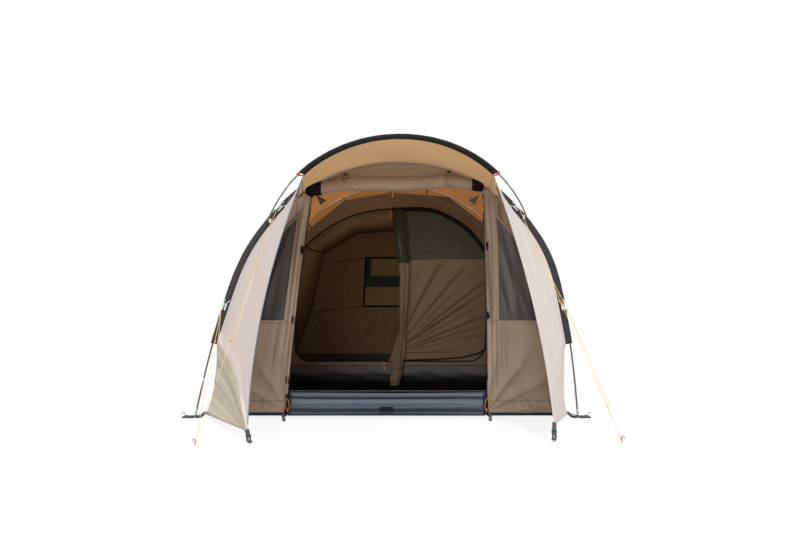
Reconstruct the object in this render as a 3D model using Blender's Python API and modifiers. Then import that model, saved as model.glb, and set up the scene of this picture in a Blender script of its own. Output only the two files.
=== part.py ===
"""A small tunnel tent of polycotton cloth, pitched, with its door rolled up.

Three arches carry the fly sheet. A fourth, lighter pole holds a canopy with two side wings in
front of the door. A sleeping cabin with a tub floor hangs between the two rear arches.

Metres, +Z up. The tent's front faces -Y and its length runs along Y. The origin is on the ground,
under the middle of the tent. Lengths along the tent are counted back from the front arch.
"""

import math

import bmesh
import bpy
from mathutils import Matrix, Vector

# Where the front arch stands, and how far the pitched tent leans sideways for each metre of height.
FRONT_Y = -1.530
LEAN = 0.05
GAP = 0.0003
MERGE = 0.00002

# Arches: distance back from the front arch, half width at the ground, height of the pole's centre.
FRONT_ARCH = (0.0, 1.305, 1.777)
MIDDLE_ARCH = (1.45, 1.305, 1.777)
REAR_ARCH = (3.55, 1.25, 1.58)
# The arch's curve, as shares of the half width and of the height.
ARCH_CURVE = ((1.0, 0.0), (0.944, 0.22), (0.898, 1.0), (0.0, 1.0))
POLE_R = 0.006
PIN_R = 0.004
PIN_LENGTH = 0.03
PIN_SHOULDER = 0.002
PIN_LIFT = 0.001

# The canopy's pole turns on two pins, and its plane rises towards the front.
CANOPY_Y = -0.030
CANOPY_Z = 1.365
CANOPY_RISE = math.radians(28)
CANOPY_CURVE = ((0.881, 0.0), (0.775, 0.334), (0.492, 0.938), (0.0, 0.938))
CANOPY_POLE_R = 0.005
CANOPY_SLEEVE_SHARE = 0.535
CANOPY_STEPS = 16
CANOPY_PIN_INNER = 0.849
CANOPY_PIN_BEND = 0.005
FITTING_SIZE = (0.013, 0.034, 0.032)
FITTING_BORE_R = 0.0060

# Sleeves are flat tubes: half their width and half their thickness, and where the pole lies in it.
SLEEVE_HALF = (0.024, 0.010)
SLEEVE_SHIFT = 0.013
SLEEVE_SHARE = 0.72
SLEEVE_STEPS = 26
CANOPY_SLEEVE_HALF = (0.015, 0.0085)
CANOPY_SLEEVE_SHIFT = 0.003
SLEEVE_CLOTH = 0.0015
SLEEVE_FACE = SLEEVE_HALF[1] + SLEEVE_CLOTH / 2 + GAP

# Cloth: a stand-in thickness, the hem's height, the corner of the skin at an arch's foot.
CLOTH = 0.002
HEM_Z = 0.03
SKIN_INSET = 0.034
CORNER_SHARE = 0.939
CORNER_BEND = (0.887, 0.2)
ROOF_SAG = 0.035
CANOPY_SAG = 0.012
HEM_RISE = 0.02
REAR_REACH = 0.53
REAR_HEM_HALF = 1.12
WALL_GAP = 0.003
WALL_INSET = 0.010
WALL_HEM_Z = 0.022

# Wings: the foot corner and the bend of each front edge, by side, with x as a half width.
LEFT = -1
RIGHT = 1
SIDES = ((LEFT, "left"), (RIGHT, "right"))
WING_CORNER = {LEFT: (0.788, -1.00, 0.067), RIGHT: (0.975, -0.93, 0.095)}
WING_BEND = {LEFT: (0.919, -0.192, 0.787), RIGHT: (0.986, -0.175, 0.773)}
WING_ARCH_Z = 1.50
SEAM_GAP = 0.003
WING_PEG = {LEFT: (0.762, -1.063), RIGHT: (0.968, -0.985)}
WING_FOLD = 0.012

# The front wall, with a doorway that narrows upward, and two windows.
DOOR_BOTTOM = (0.683, 0.04)
DOOR_TOP = (0.579, 1.53)
WINDOW_INNER_TOP = (0.668, 1.395)
WINDOW_INNER_MID = (0.700, 1.04)
WINDOW_INNER_FOOT = (0.729, 0.660)
WINDOW_INSET = 0.135
WINDOW_GAP = 0.0015
SILL_TOP_Z = 0.172
SILL_FOOT_Z = 0.018
SILL_SIDE_GAP = 0.010
SILL_FOLDS = 3
SILL_FOLD = 0.004
SILL_HINGE_Z = 0.010

# The rolled-up door hangs under the header in two ties.
ROLL_HALF = 0.548
ROLL_Y = -0.058
ROLL_Z = 1.590
ROLL_R = 0.043
ROLL_SAG = 0.012
TIE_X = 0.350
TIE_HALF = 0.011
TOGGLE_R = 0.005
TOGGLE_HALF = 0.018
TOGGLE_PLACE = (-0.024, 1.652)

# The sleeping cabin: its front wall's doorway has an arc on top, straight sides and round corners.
CABIN_FRONT_Y = 1.50
CABIN_BACK_Y = 3.50
CABIN_INSET = 0.085
CABIN_FOOT_INSET = 0.075
TUB_HALF = 1.10
TUB_H = 0.23
TUB_SLOPE = 0.16
CABIN_DOOR_ARC_Z = 0.565
CABIN_DOOR_ARC_R = 0.99
CABIN_DOOR_SIDE = 0.80
CABIN_DOOR_FOOT = 0.27
CABIN_DOOR_CORNER = 0.13
CABIN_DOOR_MIDDLE = 0.035
CABIN_DOOR_SEAM_Z = 1.135
CABIN_DOOR_PLAY = 0.0006
CABIN_TUB_GAP = 0.004
BACK_WINDOW = (0.31, 0.70, 1.215)
BUNDLE_TOP_Z = 1.530
BUNDLE_FOOT_Z = 0.075
BUNDLE_R = 0.036
BUNDLE_FOLDS = 5
BUNDLE_Y = 1.438

# Zip sliders: an outline with a pull below it, as half widths and heights, and its thickness.
SLIDER_OUTLINE = ((0.006, 0.010), (0.006, -0.008), (0.003, -0.014), (0.005, -0.020), (0.005, -0.046))
SLIDER_THICK = 0.004
FRONT_SLIDER_Z = 1.500
CABIN_LOW_SLIDER_X = -0.045

# Guylines, runners, pegs and webbing.
LINE_R = 0.0015
GUY_Z = (1.430, 0.760)
GUY_PEG = {LEFT: (1.085, -1.110), RIGHT: (1.350, -1.010)}
GUY_PEG_Z = 0.018
TIE_OUT = 0.014
RUNNER_SHARE = {LEFT: (0.62, 0.30), RIGHT: (0.46, 0.78)}
RUNNER_SIZE = (0.014, 0.006, 0.034)
RUNNER_BORE_R = 0.0022
PEG_R = 0.003
PEG_H = 0.034
PEG_HOOK = 0.016
STRAP_HALF = 0.010
STRAP_THICK = 0.0015
BUCKLE_SIZE = (0.030, 0.008, 0.026)
BUCKLE_SLOT = (0.0225, 0.0032)
FLOOR_INSET = 0.04
FLOOR_GAP = 0.012
FOOT_STRAP_HALF = 0.0125
FOOT_STRAP_Z = 0.004
FOOT_PEG_X = 1.372
EYELET_R = 0.0055

# Colours: red, green, blue, then roughness and metallic value.
LOOKS = {
    "pole": ((0.102, 0.102, 0.073), 0.40, 0.6),
    "sleeve": ((0.022, 0.020, 0.021), 0.75, 0.0),
    "roof": ((0.503, 0.319, 0.133), 0.90, 0.0),
    "wing": ((0.70, 0.63, 0.58), 0.90, 0.0),
    "wall": ((0.246, 0.191, 0.122), 0.90, 0.0),
    "fly": ((0.60, 0.53, 0.47), 0.90, 0.0),
    "window": ((0.066, 0.055, 0.052), 0.35, 0.0),
    "sill": ((0.115, 0.147, 0.181), 0.55, 0.0),
    "cabin": ((0.102, 0.061, 0.037), 0.90, 0.0),
    "mesh": ((0.033, 0.036, 0.028), 0.80, 0.0),
    "tub": ((0.028, 0.028, 0.029), 0.60, 0.0),
    "black": ((0.012, 0.012, 0.013), 0.50, 0.0),
    "orange": ((0.745, 0.254, 0.015), 0.60, 0.0),
    "line": ((0.871, 0.527, 0.216), 0.80, 0.0),
    "webbing": ((0.064, 0.069, 0.080), 0.80, 0.0),
    "steel": ((0.50, 0.50, 0.52), 0.35, 1.0),
}


def clear_scene():
    for obj in list(bpy.data.objects):
        bpy.data.objects.remove(obj)


def new_collection(name, hidden=False):
    collection = bpy.data.collections.new(name)
    collection.hide_render = hidden
    bpy.context.scene.collection.children.link(collection)
    return collection


def material(name):
    found = bpy.data.materials.get(name)
    if found:
        return found
    colour, roughness, metallic = LOOKS[name]
    made = bpy.data.materials.new(name)
    made.use_nodes = True
    shader = made.node_tree.nodes["Principled BSDF"]
    shader.inputs["Base Color"].default_value = (*colour, 1)
    shader.inputs["Roughness"].default_value = roughness
    shader.inputs["Metallic"].default_value = metallic
    made.diffuse_color = (*colour, 1)
    return made


def at(x, y, z):
    """A place on the tent: y is counted back from the front arch, and x shifts as the tent leans."""
    return Vector((x + LEAN * z, FRONT_Y + y, z))


def add(name, data, look):
    obj = bpy.data.objects.new(name, data)
    bpy.data.collections["tent"].objects.link(obj)
    if look:
        data.materials.append(material(look))
    return obj


def pivot(name, place, pieces):
    """An empty on a joint's axis, with the pieces that move on it as its children."""
    empty = bpy.data.objects.new(name, None)
    empty.location = place
    empty.empty_display_size = 0.05
    bpy.data.collections["tent"].objects.link(empty)
    bpy.context.view_layer.update()
    for piece in pieces:
        piece.parent = empty
        piece.matrix_parent_inverse = empty.matrix_world.inverted()


def hide_cutter(obj):
    for collection in list(obj.users_collection):
        collection.objects.unlink(obj)
    bpy.data.collections["cutters"].objects.link(obj)
    obj.hide_render = True
    obj.display_type = "WIRE"


def cut(obj, cutter):
    hide_cutter(cutter)
    boolean = obj.modifiers.new(f"cut_{cutter.name}", "BOOLEAN")
    boolean.operation = "DIFFERENCE"
    boolean.solver = "EXACT"
    boolean.object = cutter


def solidify(obj, thickness, offset=0.0):
    modifier = obj.modifiers.new("thickness", "SOLIDIFY")
    modifier.thickness = thickness
    modifier.offset = offset
    modifier.use_even_offset = False


def smooth(mesh, angle=40):
    mesh.shade_smooth()
    mesh.set_sharp_from_angle(angle=math.radians(angle))


def face_outward(bm):
    bmesh.ops.recalc_face_normals(bm, faces=bm.faces)
    if bm.calc_volume(signed=True) < 0:
        bmesh.ops.reverse_faces(bm, faces=bm.faces)


def cloth(name, shape, across, along, look, thickness=CLOTH, joined=False):
    """A sheet bent from a flat grid. shape(u, v) gives each point's place, u and v from 0 to 1."""
    bm = bmesh.new()
    bmesh.ops.create_grid(bm, x_segments=across, y_segments=along, size=0.5)
    for vert in bm.verts:
        vert.co = shape(vert.co.x + 0.5, vert.co.y + 0.5)
    if joined:
        bmesh.ops.remove_doubles(bm, verts=bm.verts, dist=MERGE)
        bmesh.ops.recalc_face_normals(bm, faces=bm.faces)
    mesh = bpy.data.meshes.new(name)
    bm.to_mesh(mesh)
    bm.free()
    smooth(mesh)
    obj = add(name, mesh, look)
    solidify(obj, thickness)
    return obj


def flat(name, outlines, place, thickness, look):
    """A flat sheet cut to outlines, the first its edge and the others its holes.

    place(x, z, depth) gives each point's place on the tent.
    """
    curve = bpy.data.curves.new(f"{name}_outline", "CURVE")
    curve.dimensions = "2D"
    curve.fill_mode = "BOTH"
    curve.extrude = thickness / 2
    for outline in outlines:
        spline = curve.splines.new("POLY")
        spline.points.add(len(outline) - 1)
        spline.use_cyclic_u = True
        for point, (x, z) in zip(spline.points, outline):
            point.co = (x, z, 0, 1)
    guide = bpy.data.objects.new(f"{name}_guide", curve)
    bpy.context.scene.collection.objects.link(guide)
    graph = bpy.context.evaluated_depsgraph_get()
    mesh = bpy.data.meshes.new_from_object(guide.evaluated_get(graph))
    bpy.data.objects.remove(guide)
    bpy.data.curves.remove(curve)
    mesh.name = name
    bm = bmesh.new()
    bm.from_mesh(mesh)
    bmesh.ops.remove_doubles(bm, verts=bm.verts, dist=MERGE)
    for vert in bm.verts:
        vert.co = place(vert.co.x, vert.co.y, vert.co.z)
    face_outward(bm)
    bm.to_mesh(mesh)
    bm.free()
    return add(name, mesh, look)


def tube(name, points, radius, look, radii=None, sides=2):
    """A round rod or line along points, with closed ends."""
    curve = bpy.data.curves.new(name, "CURVE")
    curve.dimensions = "3D"
    curve.bevel_depth = radius
    curve.bevel_resolution = sides
    curve.use_fill_caps = True
    spline = curve.splines.new("POLY")
    spline.points.add(len(points) - 1)
    for i, point in enumerate(points):
        spline.points[i].co = (*point, 1)
        spline.points[i].radius = radii[i] if radii else 1
    return add(name, curve, look)


def axes_along(start, end):
    """A matrix at start whose Z runs towards end and whose X stays level."""
    z = (end - start).normalized()
    x = Vector((1, 0, 0)) - z * z.x
    x.normalize()
    return Matrix.Translation(start) @ Matrix((x, z.cross(x), z)).transposed().to_4x4()


def block(name, size, matrix, look, bevel=0.0):
    bm = bmesh.new()
    bmesh.ops.create_cube(bm, size=1.0, matrix=Matrix.Diagonal((*size, 1)))
    mesh = bpy.data.meshes.new(name)
    bm.to_mesh(mesh)
    bm.free()
    obj = add(name, mesh, look)
    obj.matrix_world = matrix
    if bevel:
        rounding = obj.modifiers.new("rounding", "BEVEL")
        rounding.width = bevel
        rounding.segments = 2
    return obj


def rod(name, radius, length, matrix, look, sides=16):
    """A cylinder along the matrix's Z, centred on it."""
    bm = bmesh.new()
    bmesh.ops.create_cone(
        bm, cap_ends=True, segments=sides, radius1=radius, radius2=radius, depth=length
    )
    mesh = bpy.data.meshes.new(name)
    bm.to_mesh(mesh)
    bm.free()
    smooth(mesh)
    obj = add(name, mesh, look)
    obj.matrix_world = matrix
    return obj


def bezier(points, t):
    """A point on a curve with three or four control points, and its direction there."""
    rows = [Vector(point) for point in points]
    step = None
    while len(rows) > 1:
        if len(rows) == 2:
            step = rows[1] - rows[0]
        rows = [a.lerp(b, t) for a, b in zip(rows, rows[1:])]
    return rows[0], step


def plane_curve(curve, s, inset):
    """A symmetric curve in its own plane: s is -1 at the left foot, 0 at the crown, 1 at the right."""
    side = -1 if s < 0 else 1
    place, step = bezier(curve, 1 - abs(s))
    outward = Vector((step.y, -step.x)).normalized()
    place = place - outward * inset
    return Vector((side * place.x, place.y)), Vector((side * outward.x, outward.y))


def arch_place(arch, s, inset=0.0):
    """The arch's half width and height at s, moved in from the pole's centre."""
    curve = [(x * arch[1], z * arch[2]) for x, z in ARCH_CURVE]
    return plane_curve(curve, s, inset)


def canopy_place(s, inset=0.0, lift=0.0):
    """A place on the canopy's pole, moved in within its plane or lifted out of it."""
    place, _ = plane_curve(CANOPY_CURVE, s, inset)
    y = CANOPY_Y - place.y * math.cos(CANOPY_RISE) + lift * math.sin(CANOPY_RISE)
    z = CANOPY_Z + place.y * math.sin(CANOPY_RISE) + lift * math.cos(CANOPY_RISE)
    return at(place.x, y, z)


def skin_place(arch, s):
    """The skin's line along an arch. Below the sleeve it runs in a shallow curve to the corner."""
    if abs(s) <= SLEEVE_SHARE:
        return arch_place(arch, s, SKIN_INSET)[0]
    side = -1 if s < 0 else 1
    top = arch_place(arch, SLEEVE_SHARE, SKIN_INSET)[0]
    bend = (CORNER_BEND[0] * arch[1], CORNER_BEND[1])
    corner = (CORNER_SHARE * arch[1], HEM_Z)
    share = (abs(s) - SLEEVE_SHARE) / (1 - SLEEVE_SHARE)
    place, _ = bezier((tuple(top), bend, corner), share)
    return Vector((side * place.x, place.y))


def share_at_height(line, z):
    """The share s, from 0 to 1, at which line(s) comes down to the height z."""
    low, high = 0.0, 1.0
    for _ in range(40):
        middle = (low + high) / 2
        if line(middle).y > z:
            low = middle
        else:
            high = middle
    return (low + high) / 2


def skin_at_height(arch, z):
    return skin_place(arch, share_at_height(lambda s: skin_place(arch, s), z))


def arch_pole(name, arch):
    """The pole bends at the same stations as its sleeve, and has a few more below it."""
    stations = [SLEEVE_SHARE * (2 * i / SLEEVE_STEPS - 1) for i in range(SLEEVE_STEPS + 1)]
    below = [SLEEVE_SHARE + (1 - SLEEVE_SHARE) * i / 3 for i in range(1, 4)]
    stations = [-s for s in reversed(below)] + stations + below
    points = []
    radii = []
    for s in stations:
        place = arch_place(arch, s)[0]
        points.append(at(place.x, arch[0], max(place.y, PIN_LIFT)))
        radii.append(1)
    # The ends narrow to pins that stand in the webbing's eyelets.
    for end, nearest in ((0, 1), (-1, -2)):
        foot = points[end]
        along = (points[nearest] - foot).normalized()
        stop = foot + along * PIN_LENGTH
        shoulder = foot + along * (PIN_LENGTH + PIN_SHOULDER)
        radii[end] = PIN_R / POLE_R
        if end == 0:
            points[1:1] = [stop, shoulder]
            radii[1:1] = [PIN_R / POLE_R, 1]
        else:
            points[-1:-1] = [shoulder, stop]
            radii[-1:-1] = [1, PIN_R / POLE_R]
    return tube(name, points, POLE_R, "pole", radii)


def canopy_pole():
    """The canopy's pole, with an end pin bent inward at each side."""
    share = CANOPY_SLEEVE_SHARE
    stations = [share * (2 * i / CANOPY_STEPS - 1) for i in range(CANOPY_STEPS + 1)]
    below = [share + (1 - share) * i / 5 for i in range(1, 5)]
    stations = [-s for s in reversed(below)] + stations + below
    points = [canopy_place(s) for s in stations]
    half = CANOPY_CURVE[0][0]
    ends = []
    for side in (LEFT, RIGHT):
        axis = at(side * half, CANOPY_Y, CANOPY_Z)
        pin = Vector((side * (CANOPY_PIN_INNER - half), 0, 0))
        bend = Vector((-side * CANOPY_PIN_BEND, 0, 0))
        up = (canopy_place(side * 0.985) - axis) * 0.5
        ends.append([axis + pin, axis + bend, axis + up * 0.3, axis + up])
    points = ends[0] + points + ends[1][::-1]
    return tube("canopy_pole", points, CANOPY_POLE_R, "pole")


def sleeve(name, place, share, half, shift, steps):
    """A flat tube of cloth round a pole: place(s, inset, lift) gives points round the pole."""
    wide, thin = half

    def shape(u, v):
        s = share * (2 * u - 1)
        turn = 2 * math.pi * v
        return place(s, shift - wide * math.cos(turn), thin * math.sin(turn))

    return cloth(name, shape, steps, 8, "sleeve", SLEEVE_CLOTH, joined=True)


def arch_sleeve(name, arch):
    def place(s, inset, lift):
        point = arch_place(arch, s, inset)[0]
        return at(point.x, arch[0] + lift, point.y)

    return sleeve(name, place, SLEEVE_SHARE, SLEEVE_HALF, SLEEVE_SHIFT, SLEEVE_STEPS)


def guy_place(side, z, out=0.0):
    """The pole's centre at the height of a guyline, and a way out from it."""
    s = side * share_at_height(lambda t: arch_place(FRONT_ARCH, t)[0], z)
    place = arch_place(FRONT_ARCH, s, -out)[0]
    return at(place.x, FRONT_ARCH[0], place.y)


def cut_guy_holes(obj):
    """Each hole bares the pole where a guyline is tied."""
    for side, word in SIDES:
        for i, z in enumerate(GUY_Z):
            inner = guy_place(side, z, -0.018)
            outer = guy_place(side, z, 0.040)
            matrix = axes_along(inner, outer) @ Matrix.Translation((0, 0, 0.025))
            cut(obj, block(f"hole_{word}_{i}", (0.05, 0.05, 0.05), matrix, None))


def skin(name, front, rear, steps):
    """The fly between two arches. It sags between them, and its hem rises a little."""
    start = front[0] + SLEEVE_FACE
    end = rear[0] - SLEEVE_FACE

    def shape(u, v):
        s = 1 - 2 * u
        a = skin_place(front, s)
        b = skin_place(rear, s)
        place = a.lerp(b, v)
        swell = 4 * v * (1 - v)
        outward = arch_place(front, s)[1]
        place = place - outward * ROOF_SAG * swell * (1 - abs(s) ** 3)
        place.y += HEM_RISE * swell * abs(s) ** 8
        return at(place.x, start + (end - start) * v, place.y)

    return cloth(name, shape, 24, steps, "fly")


def rear_skin():
    """The sloping rear end, from the rear arch down to a rounded hem on the ground."""
    start = REAR_ARCH[0] + SLEEVE_FACE

    def shape(u, v):
        s = 1 - 2 * u
        top = skin_place(REAR_ARCH, s)
        turn = s * math.pi / 2
        hem_x = REAR_HEM_HALF * math.sin(turn)
        hem_y = start + 0.05 + REAR_REACH * math.cos(turn) ** 0.8
        x = top.x + (hem_x - top.x) * v
        z = top.y + (HEM_Z - top.y) * v
        hollow = 0.05 * math.sin(math.pi * v) * (1 - s * s)
        return at(x, start + (hem_y - start) * v - hollow, z)

    return cloth("fly_rear_end", shape, 18, 5, "fly")


def roof_front(s):
    """The roof's front edge, s from -1 at its left end to 1, beside the canopy's sleeve."""
    inset = CANOPY_SLEEVE_SHIFT + CANOPY_SLEEVE_HALF[0] + WALL_GAP
    return canopy_place(s * CANOPY_SLEEVE_SHARE, inset)


def canopy_roof():
    """The roof, from the front arch to the inner edge of the canopy's sleeve."""
    back = -SLEEVE_FACE
    edge = share_at_height(lambda t: skin_place(FRONT_ARCH, t), WING_ARCH_Z)

    def shape(u, v):
        s = 2 * u - 1
        rear = skin_place(FRONT_ARCH, s * edge)
        rear = at(rear.x, back, rear.y)
        place = rear.lerp(roof_front(s), v)
        place.z -= CANOPY_SAG * 4 * v * (1 - v) * (1 - s * s)
        return place

    return cloth("canopy_roof", shape, 16, 4, "roof")


def wing_edges(side, u):
    """The wing's rear and front edge at u, 0 at the foot and 1 at the top."""
    z = HEM_Z + (WING_ARCH_Z - SEAM_GAP - HEM_Z) * u
    rear = skin_at_height(FRONT_ARCH, z)
    back = -SLEEVE_FACE
    corner = WING_CORNER[side]
    bend = WING_BEND[side]
    foot = at(side * corner[0], corner[1], corner[2])
    middle = at(side * bend[0], bend[1], bend[2])
    top = roof_front(side) - Vector((0, 0, SEAM_GAP))
    return at(side * rear.x, back, rear.y), bezier((foot, middle, top), u)[0]


def wing(side, word):
    """A side wing. Folds fan out from its lower front corner."""

    def shape(u, v):
        rear, front = wing_edges(side, u)
        place = rear.lerp(front, v)
        fan = math.atan2(u * 1.5, 1.02 - v)
        fold = math.sin(fan * 9) * math.sin(math.pi * u) ** 0.7 * math.sin(math.pi * v) * (1 - u)
        place.x += side * WING_FOLD * fold
        return place

    return cloth(f"wing_{word}", shape, 10, 7, "wing")


def on_wall(x, z, depth):
    return at(x, depth, z)


def door_edge(z):
    """Half the doorway's width at a height: its sides are straight."""
    share = (z - DOOR_BOTTOM[1]) / (DOOR_TOP[1] - DOOR_BOTTOM[1])
    return DOOR_BOTTOM[0] + (DOOR_TOP[0] - DOOR_BOTTOM[0]) * share


def wall_line(s):
    """The front wall's outer edge, up the inner side of the arch's sleeve."""
    return skin_place(FRONT_ARCH, s) - arch_place(FRONT_ARCH, s)[1] * WALL_INSET


def wall_edge(low, high, steps):
    points = []
    for i in range(steps + 1):
        share = share_at_height(wall_line, low + (high - low) * i / steps)
        points.append(tuple(wall_line(share)))
    return points


def window_outline(grow):
    """The window: straight inner and lower edges and an outer edge that follows the arch."""
    inner = ((WINDOW_INNER_TOP, 2.5), (WINDOW_INNER_MID, 0.0), (WINDOW_INNER_FOOT, -1.0))
    points = [(x - grow, z + grow * up) for (x, z), up in inner]
    low = share_at_height(lambda s: arch_place(FRONT_ARCH, s, WINDOW_INSET)[0], WINDOW_INNER_FOOT[1])
    high = share_at_height(lambda s: arch_place(FRONT_ARCH, s, WINDOW_INSET)[0], WINDOW_INNER_TOP[1])
    steps = 8
    for i in range(steps):
        share = low + (high - low) * i / steps
        place = arch_place(FRONT_ARCH, share, WINDOW_INSET - grow)[0]
        points.append((place.x, place.y if i else WINDOW_INNER_FOOT[1] - grow))
    return points


def mirrored(points, side):
    return [(side * x, z) for x, z in points]


def front_wall():
    for side, word in SIDES:
        edge = wall_edge(WALL_HEM_Z, DOOR_TOP[1] - GAP, 16)
        edge += [(door_edge(DOOR_TOP[1]), DOOR_TOP[1] - GAP), (door_edge(WALL_HEM_Z), WALL_HEM_Z)]
        hole = mirrored(window_outline(WINDOW_GAP), side)
        flat(f"front_wall_{word}", [mirrored(edge, side), hole], on_wall, CLOTH, "wall")
        pane = mirrored(window_outline(0.0), side)
        flat(f"window_{word}", [pane], on_wall, CLOTH * 0.6, "window")
    low = share_at_height(wall_line, DOOR_TOP[1])
    steps = 12
    right = [tuple(wall_line(low * (1 - i / steps))) for i in range(steps)]
    outline = right + [tuple(wall_line(0))] + mirrored(right, LEFT)[::-1]
    flat("front_wall_header", [outline], on_wall, CLOTH, "wall")


def sill():
    """The cloth across the doorway's foot, with folds along it. It folds down flat to the front."""

    def shape(u, v):
        z = SILL_FOOT_Z + (SILL_TOP_Z - SILL_FOOT_Z) * v
        half = door_edge(z) - SILL_SIDE_GAP
        fold = SILL_FOLD * math.sin(math.pi * 2 * SILL_FOLDS * v) * math.sin(math.pi * u) ** 0.5
        return at(half * (2 * u - 1), fold, z)

    made = cloth("sill", shape, 8, 12, "sill")
    pivot("sill_fold", at(0, 0, SILL_HINGE_Z), [made])


def door_roll():
    """The rolled door, drawn in by its ties and sagging between them."""
    steps = 16
    points = []
    radii = []
    for i in range(steps + 1):
        x = ROLL_HALF * (2 * i / steps - 1)
        past = (abs(x) - TIE_X) / (ROLL_HALF - TIE_X)
        drop = ROLL_SAG * (1 - (x / TIE_X) ** 2) if past < 0 else 2.2 * ROLL_SAG * past
        points.append(at(x, ROLL_Y, ROLL_Z - drop))
        swell = 1 - 0.09 * math.exp(-(((abs(x) - TIE_X) / 0.03) ** 2))
        radii.append(swell * (1 if past < 0.9 else 0.85))
    tube("door_roll", points, ROLL_R, "wall", radii, sides=3)


def roll_ties():
    """A webbing loop round the roll at each side, with a toggle that turns to let it go."""
    for side, word in SIDES:
        middle = at(side * TIE_X, ROLL_Y, ROLL_Z)

        def shape(u, v, middle=middle):
            turn = 2 * math.pi * v
            inner = ROLL_R + CLOTH
            swing = Vector((0, inner * math.cos(turn), inner * math.sin(turn)))
            return middle + swing + Vector((TIE_HALF * (2 * u - 1), 0, 0))

        cloth(f"roll_tie_{word}", shape, 1, 20, "webbing", joined=True)
        place = at(side * TIE_X, *TOGGLE_PLACE)
        matrix = Matrix.Translation(place) @ Matrix.Rotation(math.radians(90), 4, "Y")
        toggle = rod(f"roll_toggle_{word}", TOGGLE_R, 2 * TOGGLE_HALF, matrix, "black", 12)
        pivot(f"toggle_turn_{word}", place, [toggle])


def slider(name, place, lean=0.0):
    """A zip slider with its pull hanging from it, in front of the cloth."""
    outline = [(x, z) for x, z in SLIDER_OUTLINE]
    outline += [(-x, z) for x, z in reversed(SLIDER_OUTLINE)]

    def put(x, z, depth):
        return place + Vector((x + lean * z, depth, z))

    return flat(name, [outline], put, SLIDER_THICK, "orange")


def front_sliders():
    depth = -CLOTH / 2 - 0.001 - SLIDER_THICK / 2
    for side, word in SIDES:
        place = at(side * door_edge(FRONT_SLIDER_Z), depth, FRONT_SLIDER_Z)
        made = slider(f"door_slider_{word}", place)
        pivot(f"door_zip_{word}", place, [made])


def cabin_line(arch, s):
    """The cabin hangs inside the arch, further in towards the ground."""
    return arch_place(arch, s, CABIN_INSET + CABIN_FOOT_INSET * s**4)[0]


def cabin_body():
    """The cabin's sides and roof, above the tub."""
    low = share_at_height(lambda s: cabin_line(MIDDLE_ARCH, s), TUB_H + CABIN_TUB_GAP)
    low_back = share_at_height(lambda s: cabin_line(REAR_ARCH, s), TUB_H + CABIN_TUB_GAP)
    front = CABIN_FRONT_Y + CLOTH
    back = CABIN_BACK_Y - CLOTH

    def shape(u, v):
        s = 1 - 2 * u
        a = cabin_line(MIDDLE_ARCH, s * low)
        b = cabin_line(REAR_ARCH, s * low_back)
        place = a.lerp(b, v)
        place.y -= 0.03 * 4 * v * (1 - v) * (1 - s * s)
        return at(place.x, front + (back - front) * v, place.y)

    cloth("cabin_body", shape, 20, 4, "cabin")


def cabin_outline(arch, steps):
    """The outline of a cabin end wall, from one foot over the top to the other."""
    low = share_at_height(lambda s: cabin_line(arch, s), TUB_H + CABIN_TUB_GAP)
    return [tuple(cabin_line(arch, low * (1 - 2 * i / steps))) for i in range(steps + 1)]


def between(a, b, x):
    """The height at x on the straight line from a to b."""
    return a[1] + (b[1] - a[1]) * (x - a[0]) / (b[0] - a[0])


def cabin_door_arc(turn, grow=0.0):
    """A point on the doorway's arc, turned from its top.

    The arc is a true circle once the tent leans, so that a zip slider can ride round it.
    """
    reach = CABIN_DOOR_ARC_R + grow
    rise = reach * math.cos(turn)
    return (reach * math.sin(turn) - LEAN * rise, CABIN_DOOR_ARC_Z + rise)


def cabin_door_side(side, grow=0.0):
    """One side of the doorway, from its round lower corner up to the middle of its top."""
    foot = CABIN_DOOR_FOOT - grow
    out = CABIN_DOOR_SIDE + grow
    radius = CABIN_DOOR_CORNER
    points = []
    for i in range(5):
        turn = math.radians(90 * i / 4)
        x = out - radius + radius * math.sin(turn)
        points.append((side * x, foot + radius - radius * math.cos(turn)))
    last = math.asin(CABIN_DOOR_SIDE / CABIN_DOOR_ARC_R)
    for i in range(9):
        points.append(cabin_door_arc(side * last * (1 - i / 8), grow))
    return points


def cabin_walls():
    def front(x, z, depth):
        return at(x, CABIN_FRONT_Y + depth, z)

    def back(x, z, depth):
        return at(x, CABIN_BACK_Y + depth, z)

    hole = cabin_door_side(RIGHT) + cabin_door_side(LEFT)[::-1][1:]
    flat("cabin_front_wall", [cabin_outline(MIDDLE_ARCH, 24), hole], front, CLOTH, "cabin")
    half, low, high = BACK_WINDOW
    window = [(half, low), (half, high), (-half, high), (-half, low)]
    flat("cabin_back_wall", [cabin_outline(REAR_ARCH, 20), window], back, CLOTH, "cabin")
    play = CABIN_DOOR_PLAY
    small = [(x - math.copysign(play, x), z + (play if z == low else -play)) for x, z in window]
    flat("cabin_back_window", [small], back, CLOTH * 0.6, "mesh")

    # The right door: cloth below a seam and mesh above it.
    edge = cabin_door_side(RIGHT, -CABIN_DOOR_PLAY)
    seam = CABIN_DOOR_SEAM_Z
    below = [p for p in edge if p[1] < seam]
    above = [p for p in edge if p[1] > seam]
    side = between(below[-1][::-1], above[0][::-1], seam)
    middle = CABIN_DOOR_MIDDLE
    past = [p for p in edge if p[0] < middle]
    lower = [(middle, CABIN_DOOR_FOOT + CABIN_DOOR_PLAY)] + below
    lower += [(side, seam - GAP), (middle, seam - GAP)]
    upper = [(middle, seam + GAP), (side, seam + GAP)]
    upper += [p for p in above if p[0] > middle]
    upper.append((middle, between(upper[-1], past[0], middle)))
    flat("cabin_door_cloth", [lower], front, CLOTH, "cabin")
    flat("cabin_door_mesh", [upper], front, CLOTH * 0.6, "mesh")


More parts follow.
